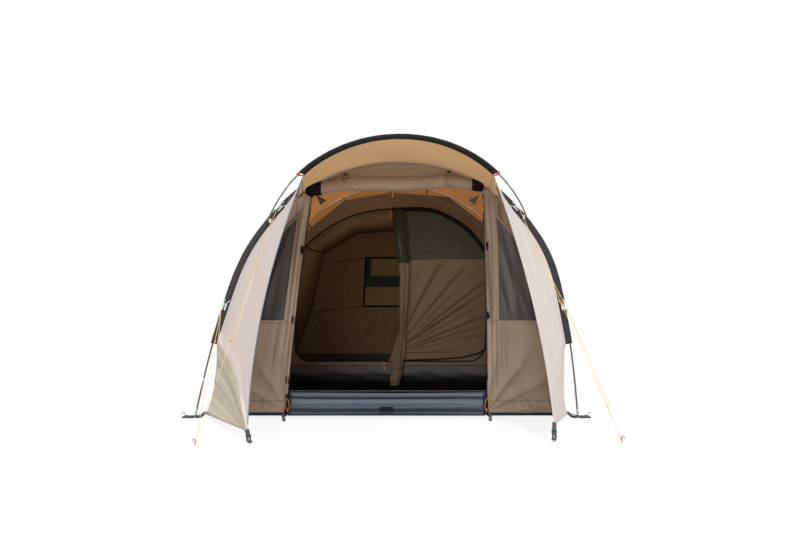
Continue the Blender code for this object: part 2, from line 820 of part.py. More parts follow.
def cabin_tub():
    """The floor with its raised sides, open above. Its front side slopes inward to the floor."""
    front = CABIN_FRONT_Y + CABIN_TUB_GAP
    back = CABIN_BACK_Y - CABIN_TUB_GAP
    bm = bmesh.new()
    bmesh.ops.create_cube(bm, size=1.0)
    top = [face for face in bm.faces if face.normal.z > 0.9]
    bmesh.ops.delete(bm, geom=top, context="FACES_ONLY")
    for vert in bm.verts:
        above = vert.co.z > 0
        slope = 0 if above else TUB_SLOPE
        y = front + slope if vert.co.y < 0 else back
        vert.co = at(2 * TUB_HALF * vert.co.x, y, TUB_H if above else 0.0)
    mesh = bpy.data.meshes.new("cabin_tub")
    bm.to_mesh(mesh)
    bm.free()
    solidify(add("cabin_tub", mesh, "tub"), CLOTH, offset=-1.0)


def gathered_door():
    """The left cabin door, gathered into a hanging bundle with long folds."""

    def shape(u, v):
        turn = 2 * math.pi * u
        thick = 1.0 + 0.30 * math.sin(math.pi * min(1.0, v * 1.3)) - 0.35 * v ** 6
        if v < 0.18:
            thick *= 0.72 + 0.28 * math.sin(math.pi * v / 0.18)
        radius = BUNDLE_R * thick * (1 + 0.16 * math.cos(BUNDLE_FOLDS * turn + 2 * v))
        z = BUNDLE_FOOT_Z + (BUNDLE_TOP_Z - BUNDLE_FOOT_Z) * v
        drift = 0.012 * math.sin(3 * v)
        x = CABIN_DOOR_MIDDLE - 0.02 + drift + radius * math.cos(turn)
        return at(x, BUNDLE_Y + 0.8 * radius * math.sin(turn), z)

    bm = bmesh.new()
    bmesh.ops.create_grid(bm, x_segments=20, y_segments=9, size=0.5)
    for vert in bm.verts:
        vert.co = shape(vert.co.x + 0.5, vert.co.y + 0.5)
    bmesh.ops.remove_doubles(bm, verts=bm.verts, dist=MERGE)
    bmesh.ops.holes_fill(bm, edges=bm.edges, sides=0)
    face_outward(bm)
    mesh = bpy.data.meshes.new("cabin_door_gathered")
    bm.to_mesh(mesh)
    bm.free()
    smooth(mesh)
    add("cabin_door_gathered", mesh, "cabin")


def cabin_sliders():
    depth = CABIN_FRONT_Y - CLOTH / 2 - 0.001 - SLIDER_THICK / 2
    low = at(CABIN_LOW_SLIDER_X, depth, CABIN_DOOR_FOOT)
    made = slider("cabin_slider_low", low)
    pivot("cabin_zip_low", low, [made])
    x, z = cabin_door_arc(0.0)
    made = slider("cabin_slider_top", at(x, depth, z))
    pivot("cabin_zip_arc", at(0, depth, CABIN_DOOR_ARC_Z), [made])


def living_floor():
    """The groundsheet of the living space, from the doorway to the cabin."""
    half = CORNER_SHARE * FRONT_ARCH[1] - FLOOR_INSET
    start = FLOOR_GAP
    end = CABIN_FRONT_Y + TUB_SLOPE - FLOOR_GAP
    matrix = Matrix.Translation((0, FRONT_Y + (start + end) / 2, CLOTH / 2))
    block("living_floor", (2 * half, end - start, CLOTH), matrix, "tub")


def canopy_fittings():
    """A moulded block at each side, on the front of the sleeve, with a bore for the pole's pin."""
    for side, word in SIDES:
        x = side * (CANOPY_CURVE[0][0] - 0.014 - FITTING_SIZE[0] / 2)
        y = -SLEEVE_FACE - FITTING_SIZE[1] / 2
        place = at(x, y, CANOPY_Z)
        made = block(f"canopy_fitting_{word}", FITTING_SIZE, Matrix.Translation(place), "webbing", 0.002)
        axis = at(x, CANOPY_Y, CANOPY_Z)
        turn = Matrix.Rotation(math.radians(90), 4, "Y")
        cut(made, rod(f"bore_{word}", FITTING_BORE_R, 0.08, Matrix.Translation(axis) @ turn, None))


def guylines():
    """Two straight lines at each side, from the front arch to one peg, with a runner on each."""
    for side, word in SIDES:
        peg = at(side * GUY_PEG[side][0], GUY_PEG[side][1], GUY_PEG_Z)
        for z, share, level in zip(GUY_Z, RUNNER_SHARE[side], ("upper", "lower")):
            start = guy_place(side, z, TIE_OUT) + Vector((0, -POLE_R, 0))
            along = (peg - start).normalized()
            level_back = Vector((-along.x, -along.y, 0)).normalized()
            spread = Vector((0, 0, 0.006 if level == "upper" else -0.002))
            end = peg + level_back * (PEG_R + LINE_R + 0.002) + spread
            steps = 12
            points = [start.lerp(end, i / steps) for i in range(steps + 1)]
            tube(f"guyline_{word}_{level}", points, LINE_R, "line")
            matrix = axes_along(start.lerp(end, share), end)
            runner = block(f"runner_{word}_{level}", RUNNER_SIZE, matrix, "black", 0.0015)
            bore = rod(f"runner_bore_{word}_{level}", RUNNER_BORE_R, 0.06, matrix, None, 10)
            cut(runner, bore)
            pivot(f"runner_slide_{word}_{level}", matrix.translation, [runner])


def peg(name, place, facing):
    """The hooked head of a peg, above the ground."""
    hook = facing.normalized() * PEG_HOOK
    base = Vector((place.x, place.y, 0))
    points = [base, base + Vector((0, 0, PEG_H * 0.6)), base + Vector((0, 0, PEG_H))]
    points.append(base + hook * 0.5 + Vector((0, 0, PEG_H + 0.007)))
    points.append(base + hook + Vector((0, 0, PEG_H)))
    points.append(base + hook + Vector((0, 0, PEG_H * 0.72)))
    tube(name, points, PEG_R, "steel")


def pegs():
    for side, word in SIDES:
        out = Vector((side, 0, 0))
        x, y = GUY_PEG[side]
        peg(f"guy_peg_{word}", at(side * x, y, 0), out + Vector((0, -1, 0)))
        x, y = WING_PEG[side]
        peg(f"wing_peg_{word}", at(side * x, y, 0), Vector((0, -1, 0)))
        peg(f"foot_peg_{word}", at(side * FOOT_PEG_X, 0, 0), out)


def wing_straps():
    """The wing's corner strap with a ladder buckle that slides on it."""
    for side, word in SIDES:
        x, y, z = WING_CORNER[side]
        start = at(side * x, y, z)
        x, y = WING_PEG[side]
        end = at(side * x, y, 0.012)
        along = (end - start).normalized()
        start = start + along * 0.004
        end = end - along * (PEG_R + 0.006)
        matrix = axes_along(start.lerp(end, 0.5), end)
        length = (end - start).length
        block(f"wing_strap_{word}", (2 * STRAP_HALF, STRAP_THICK, length), matrix, "webbing")
        buckle = block(f"wing_buckle_{word}", BUCKLE_SIZE, matrix, "black", 0.001)
        cut(buckle, block(f"slot_{word}", (*BUCKLE_SLOT, 0.06), matrix, None))
        pivot(f"buckle_slide_{word}", matrix.translation, [buckle])


def foot_straps():
    """The webbing from the skin's corner out past the pole's pin, which stands in its eyelet."""
    for side, word in SIDES:
        inner = at(side * (CORNER_SHARE * FRONT_ARCH[1] + 0.004), 0, FOOT_STRAP_Z)
        outer = at(side * (FOOT_PEG_X - PEG_R - 0.001), 0, FOOT_STRAP_Z)
        size = (abs(outer.x - inner.x), 2 * FOOT_STRAP_HALF, STRAP_THICK)
        matrix = Matrix.Translation((inner + outer) / 2)
        strap = block(f"foot_strap_{word}", size, matrix, "webbing")
        pole = at(side * FRONT_ARCH[1], 0, FOOT_STRAP_Z)
        cut(strap, rod(f"eyelet_{word}", EYELET_R, 0.02, Matrix.Translation(pole), None, 14))


def main():
    clear_scene()
    new_collection("tent")
    new_collection("cutters", hidden=True)
    arches = (("front", FRONT_ARCH), ("middle", MIDDLE_ARCH), ("rear", REAR_ARCH))
    for word, arch in arches:
        arch_pole(f"{word}_arch_pole", arch)
        made = arch_sleeve(f"{word}_sleeve", arch)
        if word == "front":
            cut_guy_holes(made)
    pole = canopy_pole()
    cover = sleeve(
        "canopy_sleeve",
        canopy_place,
        CANOPY_SLEEVE_SHARE,
        CANOPY_SLEEVE_HALF,
        CANOPY_SLEEVE_SHIFT,
        CANOPY_STEPS,
    )
    pivot("canopy_hinge", at(0, CANOPY_Y, CANOPY_Z), [pole, cover])
    canopy_fittings()
    canopy_roof()
    for side, word in SIDES:
        wing(side, word)
    skin("fly_living", FRONT_ARCH, MIDDLE_ARCH, 4)
    skin("fly_sleeping", MIDDLE_ARCH, REAR_ARCH, 4)
    rear_skin()
    front_wall()
    sill()
    door_roll()
    roll_ties()
    front_sliders()
    living_floor()
    cabin_tub()
    cabin_body()
    cabin_walls()
    gathered_door()
    cabin_sliders()
    guylines()
    pegs()
    wing_straps()
    foot_straps()


main()
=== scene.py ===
"""The looks of a small tunnel tent of polycotton cloth, pitched with its door rolled up.

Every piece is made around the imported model, in metres, with +Z up and the tent's front towards -Y.
Lengths along the tent are counted back from the front arch, as in the model's source.
"""

from functools import lru_cache
from math import asin, atan2, copysign, cos, degrees, exp, hypot, pi, radians, sin, sqrt

import bmesh
import bpy
import numpy as np
from bpy.props import FloatProperty, FloatVectorProperty, PointerProperty
from mathutils import Matrix, Vector, noise
from numpy import linspace


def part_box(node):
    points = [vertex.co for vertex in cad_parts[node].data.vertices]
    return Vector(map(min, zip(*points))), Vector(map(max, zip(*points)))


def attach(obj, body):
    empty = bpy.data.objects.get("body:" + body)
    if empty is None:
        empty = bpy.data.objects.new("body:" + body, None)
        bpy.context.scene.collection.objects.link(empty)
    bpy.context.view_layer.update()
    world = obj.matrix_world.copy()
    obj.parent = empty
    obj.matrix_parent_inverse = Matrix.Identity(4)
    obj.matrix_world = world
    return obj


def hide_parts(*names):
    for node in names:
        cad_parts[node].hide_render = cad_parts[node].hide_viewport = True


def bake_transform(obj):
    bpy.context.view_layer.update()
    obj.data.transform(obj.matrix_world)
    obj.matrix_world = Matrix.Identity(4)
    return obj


bl_info = {
    "name": "Tunnel tent",
    "version": (1, 0, 0),
    "blender": (4, 5, 0),
    "location": "View3D > Sidebar > Tent",
    "description": "Makes the cloth, poles, lines and fittings of a small tunnel tent",
    "category": "Add Mesh",
}

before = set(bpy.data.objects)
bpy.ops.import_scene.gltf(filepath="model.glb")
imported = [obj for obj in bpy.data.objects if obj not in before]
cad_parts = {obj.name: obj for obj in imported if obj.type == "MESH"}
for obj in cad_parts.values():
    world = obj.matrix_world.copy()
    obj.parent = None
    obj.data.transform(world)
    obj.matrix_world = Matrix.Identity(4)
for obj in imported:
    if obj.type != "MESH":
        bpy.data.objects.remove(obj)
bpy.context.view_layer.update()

# The tent's lines, as in the model's source.
FRONT_Y = -1.530
LEAN = 0.05
FRONT_ARCH = (0.0, 1.305, 1.777)
MIDDLE_ARCH = (1.45, 1.305, 1.777)
REAR_ARCH = (3.55, 1.25, 1.58)
ARCHES = (("front", FRONT_ARCH), ("middle", MIDDLE_ARCH), ("rear", REAR_ARCH))
ARCH_CURVE = ((1.0, 0.0), (0.944, 0.22), (0.868, 1.0), (0.0, 1.0))
SWAY = 0.010
BULGE = {-1: (0.016, 0.25), 1: (0.029, 0.30)}
BULGE_Z = 1.12
POLE_R = 0.006
CANOPY_Y = -0.030
CANOPY_Z = 1.365
CANOPY_RISE = radians(25.95)
CANOPY_CURVE = ((0.881, 0.0), (0.775, 0.334), (0.474, 0.938), (0.0, 0.938))
CANOPY_DROP = {-1: 0.026, 1: 0.0}
CANOPY_TUCK = {-1: 0.008, 1: 0.0}
CANOPY_POLE_R = 0.005
CANOPY_SLEEVE_SHARE = 0.535
CANOPY_PIN_INNER = 0.849
SLEEVE_HALF = (0.0275, 0.010)
SLEEVE_SHIFT = 0.013
SLEEVE_SHARE = 0.72
CANOPY_SLEEVE_HALF = (0.022, 0.0125)
CANOPY_SLEEVE_SHIFT = 0.010
SLEEVE_FACE = 0.01105
HEM_Z = 0.03
SKIN_INSET = 0.034
CORNER_SHARE = 0.939
CORNER_BEND = (0.887, 0.2)
ROOF_SAG = 0.020
CANOPY_SAG = 0.012
HEM_RISE = 0.02
REAR_REACH = 0.53
REAR_HEM_HALF = 1.12
WALL_INSET = 0.010
WALL_HEM_Z = 0.022
LEFT = -1
RIGHT = 1
SIDES = ((LEFT, "left"), (RIGHT, "right"))
FACING = (0, -1, 0)
UP = Vector((0, 0, 1))
WING_CORNER = {LEFT: (0.788, -1.00, 0.067), RIGHT: (0.975, -0.93, 0.095)}
WING_BEND = {LEFT: (0.919, -0.192, 0.787), RIGHT: (0.986, -0.175, 0.773)}
WING_REAR = {-1: 0.005, 1: 0.011}
WING_ARCH_Z = 1.50
SEAM_GAP = 0.003
WING_PEG = {LEFT: (0.762, -1.063), RIGHT: (0.968, -0.985)}
DOOR_BOTTOM = (0.683, 0.04)
DOOR_TOP = (0.579, 1.53)
DOOR_BOW = {-1: 0.016, 1: 0.009}
WINDOW_INNER = ((0.729, 0.660), (0.700, 1.04), (0.668, 1.395))
WINDOW_INSET = 0.135
SILL_TOP_Z = 0.172
SILL_FOOT_Z = 0.018
SILL_SIDE_GAP = 0.010
ROLL_Y = -0.058
TOGGLE_PLACE = (-0.024, 1.652)
CABIN_FRONT_Y = 1.50
CABIN_BACK_Y = 3.50
CABIN_INSET = 0.085
CABIN_FOOT_INSET = 0.075
TUB_HALF = 1.10
TUB_H = 0.23
TUB_SLOPE = 0.16
CABIN_DOOR_ARC_Z = 0.565
CABIN_DOOR_ARC_R = 0.99
CABIN_DOOR_SIDE = 0.80
CABIN_DOOR_FOOT = 0.27
CABIN_DOOR_CORNER = 0.13
CABIN_DOOR_MIDDLE = 0.035
CABIN_DOOR_SEAM_Z = 1.135
CABIN_LOW_SLIDER_X = -0.045
BACK_WINDOW = (0.31, 0.70, 1.215)
BUNDLE_Y = 1.438
FRONT_SLIDER_Z = 1.500
LINE_R = 0.0015
GUY_Z = (1.430, 0.760)
GUY_PEG = {LEFT: (1.060, -1.110), RIGHT: (1.350, -1.010)}
GUY_PEG_Z = 0.018
TIE_OUT = 0.014
RUNNER_SHARE = {LEFT: (0.62, 0.30), RIGHT: (0.46, 0.78)}
PEG_R = 0.003
PEG_H = 0.034
PEG_HOOK = 0.016
FOOT_PEG_X = 1.372
FOOT_STRAP_Z = 0.004

# Thicknesses of what is sewn on: a seam sewn flat, a bound one and a facing. Then the sizes of
# one stitch and one tooth of a zip: along, across and high.
FELLED = 0.0010
BOUND = 0.0012
FACED = 0.0016
STITCH = (0.0042, 0.0009, 0.0007)
SLEEVE_STITCH = (0.004, 0.0008, 0.0008)
FRONT_TOOTH = (0.0030, 0.0036, 0.0016)
CABIN_TOOTH = (0.0030, 0.0048, 0.0016)


def linear(code):
    """A colour from its hexadecimal screen value."""
    parts = [int(code[i : i + 2], 16) / 255 for i in (0, 2, 4)]
    return tuple(c / 12.92 if c <= 0.04045 else ((c + 0.055) / 1.055) ** 2.4 for c in parts)


def colour(name, code, about):
    return FloatVectorProperty(
        name=name, description=about, subtype="COLOR", size=3, min=0, max=1, default=linear(code)
    )


def length(name, value, about):
    return FloatProperty(
        name=name, description=about, subtype="DISTANCE", unit="LENGTH", min=0.0001, default=value
    )


class TentColours(bpy.types.PropertyGroup):
    """The colours of the tent's cloths and fittings."""

    # The canopy's underside is warmer than the fly's outside, as painted light coming through the cloth.
    canopy: colour("Canopy inside", "E1C090", "The underside of the canopy's roof")
    wall: colour("Front wall", "958270", "The front wall's outer face")
    wing: colour("Fly outside", "E4DAD2", "The outer face of the wings and the fly")
    wing_foot: colour("Left wing's foot", "B8AC95", "The lower part of the left wing, in its folds")
    # The fly's inner face is orange as painted light coming through the cloth.
    lining: colour("Fly inside", "D49A5C", "The inner face of the fly, lit through the cloth")
    sleeve: colour("Sleeve", "2E2B2E", "The pole sleeves")
    pole: colour("Pole", "4A4A3D", "The glass fibre poles")
    piping: colour("Piping", "6C7A88", "The piping on the wings' edges")
    film: colour("Window film", "4E453E", "The smoked film of the windows")
    cabin: colour("Cabin", "7F6E5B", "The sleeping cabin's cloth")
    mesh: colour("Netting", "474A40", "The netting of the cabin's door")
    tub: colour("Groundsheet", "5E5C5A", "The cabin's tub and the floor")
    sill: colour("Sill", "434E59", "The coated cloth of the sill")
    line: colour("Guyline", "EFCB8E", "The guylines")
    webbing: colour("Webbing", "45434A", "The straps at the corners")
    pull: colour("Pull", "DE8A2C", "The pulls of the zips and the runners")
    accent: colour("Accent", "C8232B", "The ends of the canopy's sleeve")
    black: colour("Black", "17171A", "Zips, toggles and buckles")
    steel: colour("Steel", "A6A6A8", "The pegs")


class TentSizes(bpy.types.PropertyGroup):
    """The sizes of what is sewn on and of what repeats."""

    cloth: length("Cloth", 0.0010, "Thickness of the cloths as they are shown")
    piping: length("Piping", 0.0027, "Radius of the piping")
    tape: length("Seam tape", 0.020, "Width of the bound seams")
    stitch: length("Stitch", 0.0075, "Distance from one stitch to the next")
    tooth: length("Tooth", 0.0050, "Distance from one tooth of a zip to the next")
    zip: length("Zip", 0.024, "Width of a zip with its tapes")
    crease: length("Crease", 0.0120, "Height of the deepest folds of the wings")


def colours():
    return bpy.context.scene.tent_colours


def sizes():
    return bpy.context.scene.tent_sizes


# Lines of the tent.


def at(x, y, z):
    """A place on the tent: y is counted back from the front arch, and x shifts as the tent leans."""
    return Vector((x + LEAN * z, FRONT_Y + y, z))


def beside(side, place):
    """A place on one side of the tent, from how far out, back and up it is."""
    return at(side * place[0], *place[1:])


def on_arch(x, y, z):
    """A place on an arch or on the cloth along it. The arches bow to the right and bulge at the waist."""
    height, width = BULGE[LEFT if x < 0 else RIGHT]
    bulge = height * bell(z - BULGE_Z, width)
    bow = SWAY * sin(pi * min(1.0, max(0.0, z / 1.6)))
    return at(x + bow + copysign(bulge, x), y, z)


def bezier(points, t):
    rows = [Vector(point) for point in points]
    step = None
    while len(rows) > 1:
        if len(rows) == 2:
            step = rows[1] - rows[0]
        rows = [a.lerp(b, t) for a, b in zip(rows, rows[1:])]
    return rows[0], step


def plane_curve(curve, s, inset):
    side = -1 if s < 0 else 1
    place, step = bezier(curve, 1 - abs(s))
    outward = Vector((step.y, -step.x)).normalized()
    place = place - outward * inset
    return Vector((side * place.x, place.y)), Vector((side * outward.x, outward.y))


@lru_cache(maxsize=None)
def arch_place(arch, s, inset=0.0):
    curve = [(x * arch[1], z * arch[2]) for x, z in ARCH_CURVE]
    return plane_curve(curve, s, inset)


@lru_cache(maxsize=None)
def canopy_flat(s, inset):
    return plane_curve(CANOPY_CURVE, s, inset)[0]


def canopy_place(s, inset=0.0, lift=0.0):
    place = canopy_flat(s, inset)
    side = LEFT if s < 0 else RIGHT
    drop = CANOPY_DROP[side] * ease(0.55, 1.0, abs(s))
    tuck = CANOPY_TUCK[side] * ease(0.40, 0.80, abs(s))
    y = CANOPY_Y - place.y * cos(CANOPY_RISE) + lift * sin(CANOPY_RISE)
    z = CANOPY_Z + place.y * sin(CANOPY_RISE) + lift * cos(CANOPY_RISE)
    return at(place.x - side * tuck, y, z - drop)


def canopy_axis(side, out=0.0):
    """Where the canopy's pole turns in its clip, and places beside it along the pin."""
    x = side * (CANOPY_CURVE[0][0] - CANOPY_TUCK[side] + out)
    return at(x, CANOPY_Y, CANOPY_Z - CANOPY_DROP[side])


@lru_cache(maxsize=None)
def skin_place(arch, s):
    if abs(s) <= SLEEVE_SHARE:
        return arch_place(arch, s, SKIN_INSET)[0]
    side = -1 if s < 0 else 1
    top = arch_place(arch, SLEEVE_SHARE, SKIN_INSET)[0]
    bend = (CORNER_BEND[0] * arch[1], CORNER_BEND[1])
    corner = (CORNER_SHARE * arch[1], HEM_Z)
    share = (abs(s) - SLEEVE_SHARE) / (1 - SLEEVE_SHARE)
    place, _ = bezier((tuple(top), bend, corner), share)
    return Vector((side * place.x, place.y))


def share_at_height(line, z):
    low, high = 0.0, 1.0
    for _ in range(30):
        middle = (low + high) / 2
        if line(middle).y > z:
            low = middle
        else:
            high = middle
    return (low + high) / 2


@lru_cache(maxsize=None)
def skin_at_height(arch, z):
    return skin_place(arch, share_at_height(lambda s: skin_place(arch, s), z))


@lru_cache(maxsize=None)
def guy_share(z):
    return share_at_height(lambda t: arch_place(FRONT_ARCH, t)[0], z)


def guy_place(side, z, out=0.0):
    place = arch_place(FRONT_ARCH, side * guy_share(z), -out)[0]
    return on_arch(place.x, FRONT_ARCH[0], place.y)


@lru_cache(maxsize=None)
def roof_edge_share():
    return share_at_height(lambda t: skin_place(FRONT_ARCH, t), WING_ARCH_Z)


def roof_front(s, inset=0.021):
    return canopy_place(s * CANOPY_SLEEVE_SHARE, inset)


@lru_cache(maxsize=None)
def wing_edges(side, u):
    z = HEM_Z + (WING_ARCH_Z - SEAM_GAP - HEM_Z) * u
    rear = skin_at_height(FRONT_ARCH, z)
    slack = WING_REAR[side] * bell(z - 0.27, 0.15)
    rear = Vector((rear.x + slack, rear.y))
    foot = beside(side, WING_CORNER[side])
    middle = beside(side, WING_BEND[side])
    top = roof_front(side) - Vector((0, 0, SEAM_GAP))
    return on_arch(side * rear.x, -SLEEVE_FACE, rear.y), bezier((foot, middle, top), u)[0]


def door_edge(side, z):
    """Half the doorway's width at a height. Each edge bows outward a little."""
    share = (z - DOOR_BOTTOM[1]) / (DOOR_TOP[1] - DOOR_BOTTOM[1])
    bow = DOOR_BOW[side] * sin(pi * min(1.0, max(0.0, share)))
    return DOOR_BOTTOM[0] + (DOOR_TOP[0] - DOOR_BOTTOM[0]) * share + bow


@lru_cache(maxsize=None)
def wall_line(s):
    return skin_place(FRONT_ARCH, s) - arch_place(FRONT_ARCH, s)[1] * WALL_INSET


@lru_cache(maxsize=None)
def wall_edge(z):
    """Half the front wall's width at a height."""
    return wall_line(share_at_height(wall_line, z)).x


@lru_cache(maxsize=None)
def window_inner(z):
    (x0, z0), (x1, z1), (x2, z2) = WINDOW_INNER
    if z < z1:
        return x0 + (x1 - x0) * (z - z0) / (z1 - z0)
    return x1 + (x2 - x1) * (z - z1) / (z2 - z1)


@lru_cache(maxsize=None)
def window_outer(z):
    def line(t):
        return arch_place(FRONT_ARCH, t, WINDOW_INSET)[0]

    return line(share_at_height(line, z)).x


def wall_spot(side, x, z, depth):
    """A place on the front wall, which follows the arch's bow towards its outer edge."""
    inner = door_edge(side, z)
    share = min(1.0, max(0.0, (x - inner) / (wall_edge(z) - inner)))
    place = at(side * x, depth, z)
    return place.lerp(on_arch(side * x, depth, z), share)


@lru_cache(maxsize=None)
def cabin_line(arch, s):
    return arch_place(arch, s, CABIN_INSET + CABIN_FOOT_INSET * s**4)[0]


def cabin_door_arc(turn, grow=0.0):
    """A place on the doorway's arc. Its right half swells a little."""
    swell = 0.058 * ease(0.0, 0.42, turn) * (1 - 0.5 * ease(0.62, 0.95, turn))
    reach = CABIN_DOOR_ARC_R + grow + swell
    rise = reach * cos(turn)
    return (reach * sin(turn) - LEAN * rise, CABIN_DOOR_ARC_Z + rise)


def cabin_door_side(side, grow=0.0, bends=10, arcs=40):
    """One side of the cabin's doorway, from its lower corner up to the middle of its top."""
    foot = CABIN_DOOR_FOOT - grow
    out = CABIN_DOOR_SIDE + grow
    radius = CABIN_DOOR_CORNER
    points = []
    for i in range(bends + 1):
        turn = radians(90 * i / bends)
        x = out - radius + radius * sin(turn)
        points.append((side * x, foot + radius - radius * cos(turn)))
    last = asin(CABIN_DOOR_SIDE / CABIN_DOOR_ARC_R)
    for i in range(arcs + 1):
        points.append(cabin_door_arc(side * last * (1 - i / arcs), grow))
    return points


def bell(away, width):
    """A hump of height one that falls off with the distance."""
    return exp(-((away / width) ** 2))


def turns(count):
    """Angles round a full turn, evenly spread."""
    return [2 * pi * k / count for k in range(count)]


def wave(value, seed=0.0):
    """Smooth noise from -1 to 1 along one number."""
    return noise.noise(Vector((value, seed, 0.37)))


def streak(a, b, seed):
    """Smooth noise over two numbers, each already in turns of its own length."""
    return noise.noise(Vector((a, b, seed)))


def sharp(value):
    """A wave with narrow crests and broad hollows, as creased cloth has."""
    return 1.6 * max(-1.0, min(1.0, value)) * abs(value) ** 0.5 if value > 0 else 0.6 * value


def ease(low, high, value):
    share = min(1.0, max(0.0, (value - low) / (high - low)))
    return share * share * (3 - 2 * share)


# Building meshes.


class Shape:
    """Rings and bands of faces gathered for one piece, with a map in metres."""

    def __init__(self):
        self.spots = []
        self.faces = []
        self.looks = []
        self.maps = []

    def rings(self, rings, look=0, closed=False):
        start = len(self.spots)
        count = len(rings[0])
        around = [0.0]
        for k in range(count):
            step = Vector(rings[0][(k + 1) % count]) - Vector(rings[0][k])
            around.append(around[-1] + step.length)
        along = [0.0]
        for a, b in zip(rings, rings[1:] + rings[:1]):
            along.append(along[-1] + (Vector(b[0]) - Vector(a[0])).length)
        for ring in rings:
            self.spots.extend(tuple(spot) for spot in ring)
        total = len(rings) if closed else len(rings) - 1
        for i in range(total):
            a = start + i * count
            b = start + ((i + 1) % len(rings)) * count
            for k in range(count):
                m = (k + 1) % count
                self.faces.append((a + k, a + m, b + m, b + k))
                self.looks.append(look)
                (u0, u1), (v0, v1) = around[k : k + 2], along[i : i + 2]
                self.maps.append([(u0, v0), (u1, v0), (u1, v1), (u0, v1)])
        if not closed:
            for base, order in ((start, -1), (start + (len(rings) - 1) * count, 1)):
                face = list(range(base, base + count))[::order]
                self.faces.append(tuple(face))
                self.looks.append(look)
                self.maps.append([(0.0, 0.0)] * count)

    def sweep(self, points, section, look=0, ups=None, closed=False, grow=None):
        """A section carried along points. Each section point is (side, up) in metres."""
        points = [Vector(point) for point in points]
        last = len(points) - 1
        rings = []
        up = Vector((0, 0, 1))
        for i, point in enumerate(points):
            if closed:
                along = points[(i + 1) % len(points)] - points[i - 1]
            else:
                along = points[min(i + 1, last)] - points[max(i - 1, 0)]
            along.normalize()
            if ups is not None:
                up = Vector(ups[i]) if hasattr(ups[0], "__len__") else Vector(ups)
            elif abs(along.dot(up)) > 0.97:
                up = Vector((1, 0, 0)) if i == 0 else up
            level = (up - along * along.dot(up)).normalized()
            across = along.cross(level)
            if ups is None:
                up = level
            size = grow[i] if grow else 1.0
            rings.append([point + (across * a + level * b) * size for a, b in section])
        self.rings(rings, look, closed=closed)

    def tube(self, points, radius, look=0, sides=10, closed=False, grow=None):
        self.sweep(points, circle(radius, sides), look, closed=closed, grow=grow)

    def bead(self, middle, along, offsets, radius, grow, look=0, sides=10):
        """A round body along a direction: at each offset grow scales its radius."""
        self.tube([middle + along * d for d in offsets], radius, look, sides, grow=grow)

    def tape(self, points, ups, width, thick, look=0, closed=False):
        """A flat band lying on a surface whose direction is up."""
        half, edge = width / 2, thick * 0.35
        top = [(-half, edge), (thick - half, thick), (0, thick * 1.08), (half - thick, thick), (half, edge)]
        self.sweep(points, top + [(half, -edge), (-half, -edge)], look, ups=ups, closed=closed)

    def seam(self, cloth, points, lift, width, thick, look=0, turned=False):
        """A band sewn along a sheet. One that is turned lies on its inner side."""
        places, ups = cloth.line(points, lift)
        self.tape(places, [-up for up in ups] if turned else ups, width, thick, look)

    def lump(self, matrix, outline, depth, look=0, round_by=0.2):
        """A moulded block: a flat outline given a thickness along Z, with rounded rims."""
        middle = Vector((sum(p[0] for p in outline), sum(p[1] for p in outline))) / len(outline)
        rings = []
        for share, shrink in ((-1, 1 - round_by), (-0.72, 0.97), (0, 1), (0.72, 0.97), (1, 1 - round_by)):
            ring = []
            for x, y in outline:
                place = middle + (Vector((x, y)) - middle) * shrink
                ring.append(matrix @ Vector((place.x, place.y, share * depth / 2)))
            rings.append(ring)
        self.rings(rings, look)

    def place(self, name, looks, body, replaced=(), slot=None, angle=38):
        """Make the piece and fix it to a body of the frame."""
        return settle(self.make(name, looks, angle), body, replaced, slot)

    def make(self, name, looks, angle=38):
        mesh = bpy.data.meshes.new(name)
        mesh.from_pydata(self.spots, [], self.faces)
        layer = mesh.uv_layers.new(name="cloth")
        layer.data.foreach_set("uv", [value for spots in self.maps for spot in spots for value in spot])
        mesh.polygons.foreach_set("material_index", self.looks)
        bm = bmesh.new()
        bm.from_mesh(mesh)
        bmesh.ops.recalc_face_normals(bm, faces=bm.faces)
        bm.to_mesh(mesh)
        bm.free()
        return put(name, mesh, looks, angle)


def circle(radius, sides):
    return [(radius * cos(t), radius * sin(t)) for t in turns(sides)]


def loop_round(middle, a, b, count):
    """A ring of places round a middle, from its two half axes."""
    return [middle + Vector([p * cos(t) + q * sin(t) for p, q in zip(a, b)]) for t in turns(count)]


def doubled(row, aside):
    """A row of places and the same row a little aside, as the section of a thin sheet."""
    return row + [p + Vector(aside) for p in row[::-1]]


def slack(start, end, sag, count):
    """Places from start to end that sag in between."""
    return [start.lerp(end, t) + Vector(sag) * sin(pi * t) for t in linspace(0, 1, count)]


def across_at(v, low, high, count):
    """Points across a sheet at one share of its length."""
    return [(t, v) for t in linspace(low, high, count)]


def along_at(u, low, high, count):
    """Points along a sheet at one share of its width."""
    return [(u, t) for t in linspace(low, high, count)]


def rounded(width, height, corner, steps=3):
    """A rectangle's outline with round corners."""
    points = []
    for x, y, start in ((1, 1, 0), (-1, 1, 90), (-1, -1, 180), (1, -1, 270)):
        for i in range(steps + 1):
            turn = radians(start + 90 * i / steps)
            a = x * (width / 2 - corner) + corner * cos(turn)
            b = y * (height / 2 - corner) + corner * sin(turn)
            points.append((a, b))
    return points


def put(name, mesh, looks, angle=38):
    for each in looks:
        mesh.materials.append(look(each))
    mesh.shade_smooth()
    mesh.set_sharp_from_angle(angle=radians(angle))
    obj = bpy.data.objects.new(name, mesh)
    bpy.context.scene.collection.objects.link(obj)
    return obj


def plain_mesh(obj):
    """The object with its modifiers turned into a plain mesh."""
    graph = bpy.context.evaluated_depsgraph_get()
    mesh = bpy.data.meshes.new_from_object(obj.evaluated_get(graph))
    old = obj.data
    obj.modifiers.clear()
    obj.data = mesh
    bpy.data.meshes.remove(old)
    mesh.name = obj.name
    return obj


